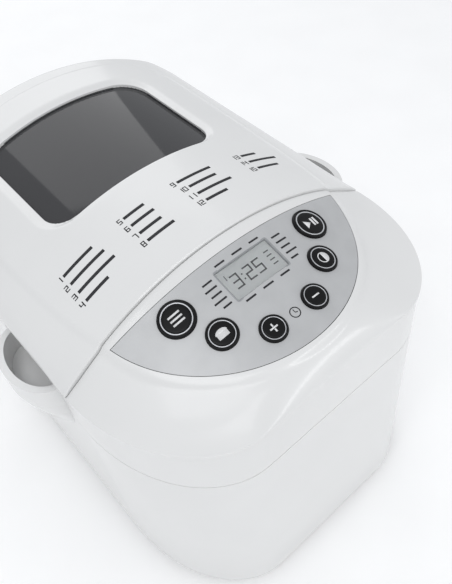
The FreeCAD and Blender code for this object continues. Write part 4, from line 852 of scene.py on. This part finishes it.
def make_button_icon(name):
    x, up, radius = BUTTONS[name]
    place = panel_frame(x * MM, up * MM)
    bm = bmesh.new()
    for points in icon_shapes(name, radius * MM):
        flat_shape(bm, points, place, BUTTON_PROUD + SIGN_LIFT, SIGN_THICKNESS)
    mesh_object(name + "_sign", bm, PRINT_WHITE, name)


def strip(bm, start, end, thickness, surface, height=PRINT_HEIGHT):
    """A printed line from start to end that follows a curved surface."""
    along = Vector(end) - Vector(start)
    side = Vector((-along.y, along.x)).normalized() * thickness / 2
    steps = max(1, int(along.length / STRIP_STEP))
    rows = []
    for i in range(steps + 1):
        middle = Vector(start) + along * i / steps
        left, right = middle + side, middle - side
        corners = ((left, height), (right, height), (right, -height), (left, -height))
        rows.append([bm.verts.new(surface(*at, lift)) for at, lift in corners])
    for a, b in zip(rows, rows[1:]):
        side_faces(bm, a, b)
    bm.faces.new(rows[0][::-1])
    bm.faces.new(rows[-1])


# The strokes of each digit, by the names in segment_lines
DIGITS = {
    "0": "abcdef", "1": "bc", "2": "abged", "3": "abgcd", "4": "fgbc",
    "5": "afgcd", "6": "afgcde", "7": "abc", "8": "abcdefg", "9": "abcdfg",
}


def segment_lines(width, height):
    """The seven strokes of a digit, as pairs of points with the digit's lower left at the origin."""
    half = height / 2
    return {
        "a": ((0, height), (width, height)),
        "b": ((width, height), (width, half)),
        "c": ((width, half), (width, 0)),
        "d": ((0, 0), (width, 0)),
        "e": ((0, 0), (0, half)),
        "f": ((0, half), (0, height)),
        "g": ((0, half), (width, half)),
    }


def draw_number(bm, text, x, y, width, height, thickness, surface, lean=0.0, lift=PRINT_HEIGHT):
    """Draws digits from x to the right and returns where the next one would start."""
    strokes = segment_lines(width, height)
    for character in text:
        if character == ":":
            for share in COLON_DOTS:
                left = Vector((x + lean * height * share - thickness / 2, y + height * share))
                strip(bm, left, left + Vector((thickness, 0)), thickness, surface, lift)
            x += width * COLON_ADVANCE
            continue
        for key in DIGITS[character]:
            (x0, y0), (x1, y1) = strokes[key]
            start = Vector((x + x0 + lean * y0, y + y0))
            end = Vector((x + x1 + lean * y1, y + y1))
            along = (end - start).normalized() * thickness * STROKE_REACH
            strip(bm, start - along, end + along, thickness, surface, lift)
        x += width * DIGIT_ADVANCE
    return x


def make_lid_marks():
    """Fifteen numbered programmes, each a number and a plain bar, in four columns on the lid."""
    def surface(x, y, height):
        return Vector((x, y, lid_height(x, y) + height))

    bm = bmesh.new()
    places = [(column * MM, DISPLAY_Y + row * MM) for column in LID_MARK_COLUMNS for row in LID_MARK_ROWS]
    for number, (end, (column, row)) in enumerate(zip(LID_MARK_BARS, places), 1):
        x = draw_number(
            bm, str(number), column, row - LID_DIGIT_DROP, LID_DIGIT_WIDTH, LID_DIGIT_HEIGHT,
            LID_DIGIT_STROKE, surface,
        )
        strip(bm, (x + LID_BAR_GAP, row), (column + end * MM, row), LID_BAR_THICKNESS, surface)
    mesh_object("programme_marks", bm, PRINT_DARK, "lid")


def make_display_marks():
    """Short bars round the display."""
    bm = bmesh.new()
    for side in SIDES:
        start = side * SIDE_TICK_START * MM
        for up, length in SIDE_TICKS:
            strip(bm, (start, up * MM), (start + side * length * MM, up * MM), TICK_THICKNESS, on_panel)
    for x, length in CROSS_TICKS:
        left, right = (x - length / 2) * MM, (x + length / 2) * MM
        for up in (CROSS_TICK_UP * MM, -CROSS_TICK_UP * MM):
            strip(bm, (left, up), (right, up), TICK_THICKNESS, on_panel)
    mesh_object("display_marks", bm, PRINT_DARK, "cabinet")


def make_clock_sign():
    """A small clock between the two lowest buttons."""
    bm = bmesh.new()
    centre = Vector((0.0, CLOCK_UP))
    rim = [centre + Vector(point) for point in disc(0, 0, CLOCK_RADIUS, 0, 360, CLOCK_STEPS)]
    for start, end in zip(rim, rim[1:]):
        strip(bm, start, end, CLOCK_LINE, on_panel)
    for hand in (Vector((0, 2.3)), Vector((1.7, -0.6))):
        strip(bm, centre, centre + hand * MM, HAND_LINE, on_panel)
    mesh_object("clock_sign", bm, PRINT_DARK, "cabinet")


def make_bezel():
    """The display's bevelled surround."""
    bm = bmesh.new()
    loops = []
    for grow, height in BEZEL_PROFILE:
        corner = max(SCREEN_CORNER_LEAST, SCREEN_CORNER + grow) * MM
        half_y = SCREEN_HALF_Y + grow * MM
        outline = rounded_outline(SCREEN_HALF_X + grow * MM, -half_y, half_y, corner, 6)
        points = [Vector((x, y, height * MM - crown_drop(x))) for x, y in outline]
        loops.append([bm.verts.new(PANEL_PLANE @ point) for point in points])
    for a, b in zip(loops, loops[1:] + loops[:1]):
        side_faces(bm, a, b)
    mesh_object("screen_bezel", bm, BEZEL, "cabinet")


def make_screen_digits():
    """A generic time, a programme number and four short bars on the display's face."""
    def surface(x, y, height):
        return PANEL_PLANE @ Vector((x, y, height - SCREEN_SINK))

    lean = 0.06
    lift = 0.04 * MM
    bm = bmesh.new()
    draw_number(bm, "3:25", -15.5 * MM, -5.0 * MM, 4.9 * MM, 9.5 * MM, 1.05 * MM, surface, lean, lift)
    draw_number(bm, "1", -19.5 * MM, 3.6 * MM, 1.8 * MM, 3.6 * MM, 0.6 * MM, surface, lean, lift)
    left, right = 14.2 * MM, 18.2 * MM
    for index in range(4):
        up = (-5.5 + index * 3.4) * MM
        strip(bm, (left, up), (right, up), 0.8 * MM, surface, lift)
    mesh_object("screen_digits", bm, SCREEN_INK, "cabinet")


# ---------------------------------------------------------------- stage, light and camera


def make_stage():
    """The floor, a plain pale sheet."""
    paper = plastic("floor_paper", (0.93, 0.93, 0.93), 0.7, 200.0, 0.02, 0.01)
    add_glow(paper, (1.0, 1.0, 1.0), 0.09)
    bm = bmesh.new()
    bmesh.ops.create_grid(bm, x_segments=4, y_segments=4, size=FLOOR_HALF)
    mesh = bpy.data.meshes.new("floor")
    bm.to_mesh(mesh)
    bm.free()
    mesh.materials.append(paper)
    floor = bpy.data.objects.new("floor", mesh)
    bpy.context.scene.collection.objects.link(floor)


def area_light(name, place, aim, power, width, depth):
    data = bpy.data.lights.new(name, "AREA")
    data.shape = "RECTANGLE"
    data.size = width
    data.size_y = depth
    data.energy = power
    light = bpy.data.objects.new(name, data)
    light.location = place
    light.rotation_euler = (Vector(aim) - Vector(place)).to_track_quat("-Z", "Y").to_euler()
    bpy.context.scene.collection.objects.link(light)


def make_lights():
    """An even pale sky, a key light, a light from behind and a long strip that the front edge mirrors."""
    world = bpy.data.worlds.new("studio")
    bpy.context.scene.world = world
    world.use_nodes = True
    sky = world.node_tree.nodes["Background"]
    sky.inputs["Color"].default_value = (0.95, 0.97, 1.0, 1)
    sky.inputs["Strength"].default_value = 0.70
    area_light("key", (-0.9, -0.6, 1.9), AIM, power=9.5, width=1.2, depth=1.2)
    area_light("back", (0.5, 1.6, 1.3), AIM, power=6, width=1.4, depth=1.4)
    area_light("front_strip", (0.35, -1.2, 1.0), (0, -0.15, 0.24), power=3.0, width=1.3, depth=0.16)


def make_camera():
    """The camera in front of the display, turned to the right, tilted down and rolled."""
    data = bpy.data.cameras.new("camera")
    data.sensor_width = SENSOR
    data.lens = LENS
    camera = bpy.data.objects.new("camera", data)
    turn = Matrix.Rotation(math.radians(-CAMERA_TURN), 4, "Z")
    tilt = Matrix.Rotation(math.radians(90 - CAMERA_TILT), 4, "X")
    roll = Matrix.Rotation(math.radians(CAMERA_ROLL), 4, "Z")
    place = Vector((0, DISPLAY_Y, DISPLAY_Z)) + CAMERA_FROM_DISPLAY
    camera.matrix_world = Matrix.Translation(place) @ turn @ tilt @ roll
    bpy.context.scene.collection.objects.link(camera)
    bpy.context.scene.camera = camera


dress_nodes()
make_shoulder()
make_lid()
make_hinge_knuckles()
for button_name in BUTTONS:
    make_button(button_name)
    make_button_icon(button_name)
make_lid_marks()
make_display_marks()
make_clock_sign()
make_bezel()
make_screen_digits()
make_stage()
make_lights()
make_camera()
bpy.context.scene.view_settings.view_transform = "Standard"
